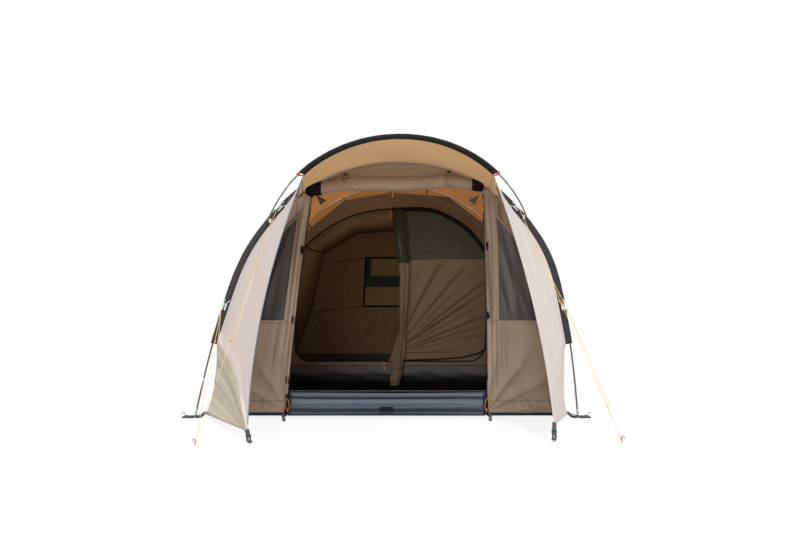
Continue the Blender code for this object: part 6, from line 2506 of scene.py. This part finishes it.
def feet():
    for side, word in SIDES:
        foot_strap(f"foot_strap_{word}_webbing", FRONT_ARCH, side, f"foot_strap_{word}")
        for label, arch in ARCHES[1:]:
            foot_strap(f"{label}_foot_strap_{word}", arch, side)
            hook = Shape()
            base = Vector((at(side * (arch[1] + 0.067), arch[0], 0).x, FRONT_Y + arch[0], 0.0))
            points = [base, base + Vector((0, 0, 0.03))]
            for t in linspace(0.2, 1, 7):
                turn = pi * t
                points.append(base + Vector((side * 0.007 * (1 - cos(turn)), 0, 0.03 + 0.006 * sin(turn))))
            hook.tube(points, PEG_R, 0, 10)
            hook.place(f"{label}_foot_peg_{word}", ["steel"], "tent", slot="steel")


def canopy_tapes():
    """A narrow tape inside the canopy, from the sleeve's end down to the front wall's corner."""
    ends = {
        LEFT: ((-0.585, -0.65, 1.535), (-0.644, -0.020, 1.532)),
        RIGHT: ((0.572, -0.65, 1.5535), (0.620, -0.020, 1.559)),
    }
    for side, word in SIDES:
        start, end = (at(*spot) for spot in ends[side])
        path = slack(start, end, (0, 0, -0.012), 20)
        shape = Shape()
        shape.tape(path, (-side, 0, 0.3), 0.012, 0.0018, 0)
        made = shape.make(f"canopy_tape_{word}", ["olive_tape"])
        bend_to_canopy(made, ROOF_BEND, slot="roof")
        flap = Shape()
        corner = at(side * 0.556, 0.012, 1.520)
        steps = ((0, 0, 0), (-side * 0.072, 0.004, -0.036), (-side * 0.030, 0.008, -0.070))
        points = [corner + Vector(step) for step in steps]
        rows = []
        for t in linspace(0, 1, 8):
            a = points[0].lerp(points[1], max(0.02, t))
            b = points[0].lerp(points[2], max(0.02, t))
            row = [a.lerp(b, k / 6) + Vector((0, -0.006 * sin(pi * k / 6), 0)) for k in range(7)]
            rows.append(doubled(row, (0, 0.0014, 0)))
        flap.rings(rows, 0)
        flap.place(f"door_top_flap_{word}", ["olive_tape"], "tent", slot="wall", angle=60)


def door_straps():
    """A strap from the front wall's foot beside each door post, pegged a hand's breadth in front."""
    ends = {LEFT: ((-0.704, 0.0), (-0.676, -0.165)), RIGHT: ((0.704, 0.0), (0.692, -0.140))}
    for side, word in SIDES:
        (x0, y0), (x1, y1) = ends[side]
        start, end = at(x0, y0 - 0.004, 0.026), at(x1, y1, 0.006)
        path = slack(start, end, (0, 0, -0.006), 14)
        shape = Shape()
        shape.tape(path, (0, -0.3, 1), 0.022, 0.0030, 0)
        ring = [end + Vector((0.008 * cos(t), -0.008 + 0.011 * sin(t), 0.001)) for t in turns(16)]
        shape.tube(ring, 0.0030, 0, 8, closed=True)
        base = Vector((end.x, end.y - 0.010, 0.0))
        peg = ((0, 0), (0, 0.022), (-0.003, 0.026), (-0.010, 0.026), (-0.012, 0.020))
        shape.tube([base + Vector((0, y, z)) for y, z in peg], PEG_R, 1, 10)
        shape.place(f"door_strap_{word}", ["webbing", "steel"], "tent", slot="webbing")


# The stage: floor, light and camera.


def make_floor():
    mesh = bpy.data.meshes.new("floor")
    size, under = 900.0, -0.0006
    corners = [(x * size, y * size, under) for x, y in ((-1, -1), (1, -1), (1, 1), (-1, 1))]
    mesh.from_pydata(corners, [], [(0, 1, 2, 3)])
    material, tree, shader = new_look("pale_floor", 0.9)
    feed(tree, shader, {"Base Color": (0.86, 0.86, 0.86, 1), "Specular IOR Level": 0.1})
    glow = node(tree, "ShaderNodeEmission", {"Color": (1, 1, 1, 1), "Strength": 1.06})
    path = node(tree, "ShaderNodeLightPath")
    cover(tree, maths(tree, "MULTIPLY", path.outputs["Is Camera Ray"], 0.80), shader, glow)
    mesh.materials.append(material)
    obj = bpy.data.objects.new("floor", mesh)
    bpy.context.scene.collection.objects.link(obj)


def make_light():
    world = bpy.data.worlds.new("studio")
    bpy.context.scene.world = world
    world.use_nodes = True
    tree = world.node_tree
    sky = tree.nodes["Background"]
    sky.inputs["Color"].default_value = (1.0, 1.0, 1.0, 1)
    path = node(tree, "ShaderNodeLightPath")
    seen = maths(tree, "MAXIMUM", path.outputs["Is Camera Ray"], path.outputs["Is Glossy Ray"])
    seen = maths(tree, "MAXIMUM", seen, path.outputs["Is Transmission Ray"])
    strength = spread_of(tree, seen, 0.70, 1.0, 0.0, 1.0)
    tree.links.new(strength, sky.inputs["Strength"])
    warm = (1.0, 0.78, 0.55)
    lamps = (
        ("key", "SUN", (48, 0, 24), 1.35, dict(angle=radians(12))),
        ("front", "SUN", (80, 0, -9), 1.25, dict(angle=radians(24))),
        ("side", "SUN", (65, 0, -70), 0.45, dict(angle=radians(16))),
        # The tent's own cloth lights its inside: one soft lamp in the cabin and one before it.
        ("cabin_glow", "POINT", (0, 0, 0), 8.0, dict(color=warm, shadow_soft_size=0.4)),
        ("room_glow", "AREA", (87, 0, 0), 1.6,
         dict(color=warm, shape="RECTANGLE", size=1.0, size_y=0.2, spread=radians(110))),
    )
    places = {"cabin_glow": at(-0.15, 2.45, 1.10), "room_glow": at(-0.12, 0.45, 1.34)}
    for name, kind, turn, power, values in lamps:
        lamp = bpy.data.lights.new(name, kind)
        lamp.energy = power
        for key, value in values.items():
            setattr(lamp, key, value)
        obj = bpy.data.objects.new(name, lamp)
        obj.rotation_euler = [radians(each) for each in turn]
        if name in places:
            obj.location = places[name]
            obj.visible_camera = obj.visible_glossy = False
        bpy.context.scene.collection.objects.link(obj)


# Where the photograph was taken from.
CAMERA_PLACE = (0.0585, FRONT_Y - 6.2, 0.87)


def make_camera():
    camera = bpy.data.cameras.new("camera")
    camera.lens, camera.sensor_width = 41.05, 36.0
    camera.shift_x, camera.shift_y = 0.0056, 0.0297
    camera.clip_start, camera.clip_end = 0.05, 3000.0
    obj = bpy.data.objects.new("camera", camera)
    obj.location = CAMERA_PLACE
    obj.rotation_euler = (radians(90), 0, 0)
    bpy.context.scene.collection.objects.link(obj)
    bpy.context.scene.camera = obj


# Operators: one for each group of like pieces.


class TENT_OT_stage(bpy.types.Operator):
    """Make the floor, the lights and the camera"""

    bl_idname = "tent.stage"
    bl_label = "Stage"

    def execute(self, context):
        context.scene.view_settings.view_transform = "Standard"
        make_floor()
        make_light()
        make_camera()
        return {"FINISHED"}


class TENT_OT_guylines(bpy.types.Operator):
    """Make the guylines with their runners, knots and rings"""

    bl_idname = "tent.guylines"
    bl_label = "Guylines"

    def execute(self, context):
        for side, word in SIDES:
            for level, share in zip(("upper", "lower"), RUNNER_SHARE[side]):
                guyline(side, word, level, share)
        guy_rings()
        return {"FINISHED"}


class TENT_OT_poles(bpy.types.Operator):
    """Make the three arches and the canopy's pole with its clips"""

    bl_idname = "tent.poles"
    bl_label = "Poles"

    def execute(self, context):
        for name, arch in ARCHES:
            arch_pole(name, arch)
        canopy_pole()
        fittings()
        return {"FINISHED"}


class TENT_OT_sleeves(bpy.types.Operator):
    """Make the pole sleeves with their bindings and stitches"""

    bl_idname = "tent.sleeves"
    bl_label = "Sleeves"

    def execute(self, context):
        for name, arch in ARCHES:
            arch_sleeve(name, arch, name == "front")
        canopy_sleeve()
        return {"FINISHED"}


class TENT_OT_canopy(bpy.types.Operator):
    """Make the canopy's roof and the side wings"""

    bl_idname = "tent.canopy"
    bl_label = "Canopy and wings"

    def execute(self, context):
        roof()
        for side, word in SIDES:
            wing(side, word)
        return {"FINISHED"}


class TENT_OT_fly(bpy.types.Operator):
    """Make the fly between the arches and the rear end"""

    bl_idname = "tent.fly"
    bl_label = "Fly"

    def execute(self, context):
        fly("living_fly", FRONT_ARCH, MIDDLE_ARCH, "fly_living", 15.0)
        fly("sleeping_fly", MIDDLE_ARCH, REAR_ARCH, "fly_sleeping", 16.5)
        rear_end()
        arch_joints()
        return {"FINISHED"}


class TENT_OT_front(bpy.types.Operator):
    """Make the front wall with its windows, zips, rolled door and sill"""

    bl_idname = "tent.front"
    bl_label = "Front wall and door"

    def execute(self, context):
        for side, word in SIDES:
            wall_panel(side, word)
        header()
        rolled_door()
        roll_ties()
        front_zips()
        sill()
        sill_ends()
        return {"FINISHED"}


class TENT_OT_cabin(bpy.types.Operator):
    """Make the sleeping cabin, its doors and the floors"""

    bl_idname = "tent.cabin"
    bl_label = "Sleeping cabin"

    def execute(self, context):
        cabin_shell()
        cabin_back()
        cabin_front()
        right_door()
        gathered_door()
        cabin_zips()
        tub()
        floor_sheet()
        return {"FINISHED"}


class TENT_OT_pegs(bpy.types.Operator):
    """Make the pegs, the straps and their buckles"""

    bl_idname = "tent.pegs"
    bl_label = "Pegs and straps"

    def execute(self, context):
        pegs()
        wing_straps()
        feet()
        door_straps()
        canopy_tapes()
        return {"FINISHED"}


STEPS = (
    TENT_OT_stage,
    TENT_OT_guylines,
    TENT_OT_poles,
    TENT_OT_sleeves,
    TENT_OT_canopy,
    TENT_OT_fly,
    TENT_OT_front,
    TENT_OT_cabin,
    TENT_OT_pegs,
)


class TENT_PT_panel(bpy.types.Panel):
    """The tent's pieces, sizes and colours"""

    bl_label = "Tunnel tent"
    bl_idname = "TENT_PT_panel"
    bl_space_type = "VIEW_3D"
    bl_region_type = "UI"
    bl_category = "Tent"

    def draw(self, context):
        layout = self.layout
        for step in STEPS:
            layout.operator(step.bl_idname)
        for group in (context.scene.tent_sizes, context.scene.tent_colours):
            for key in group.bl_rna.properties.keys():
                if key not in ("rna_type", "name"):
                    layout.prop(group, key)


CLASSES = (TentColours, TentSizes, *STEPS, TENT_PT_panel)


def register():
    for cls in CLASSES:
        bpy.utils.register_class(cls)
    bpy.types.Scene.tent_colours = PointerProperty(type=TentColours)
    bpy.types.Scene.tent_sizes = PointerProperty(type=TentSizes)


def unregister():
    del bpy.types.Scene.tent_sizes
    del bpy.types.Scene.tent_colours
    for cls in reversed(CLASSES):
        bpy.utils.unregister_class(cls)


def main():
    register()
    for step in STEPS:
        group, name = step.bl_idname.split(".")
        result = getattr(getattr(bpy.ops, group), name)()
        if result != {"FINISHED"}:
            raise RuntimeError(f"{step.bl_label} didn't finish")


if __name__ == "__main__":
    main()
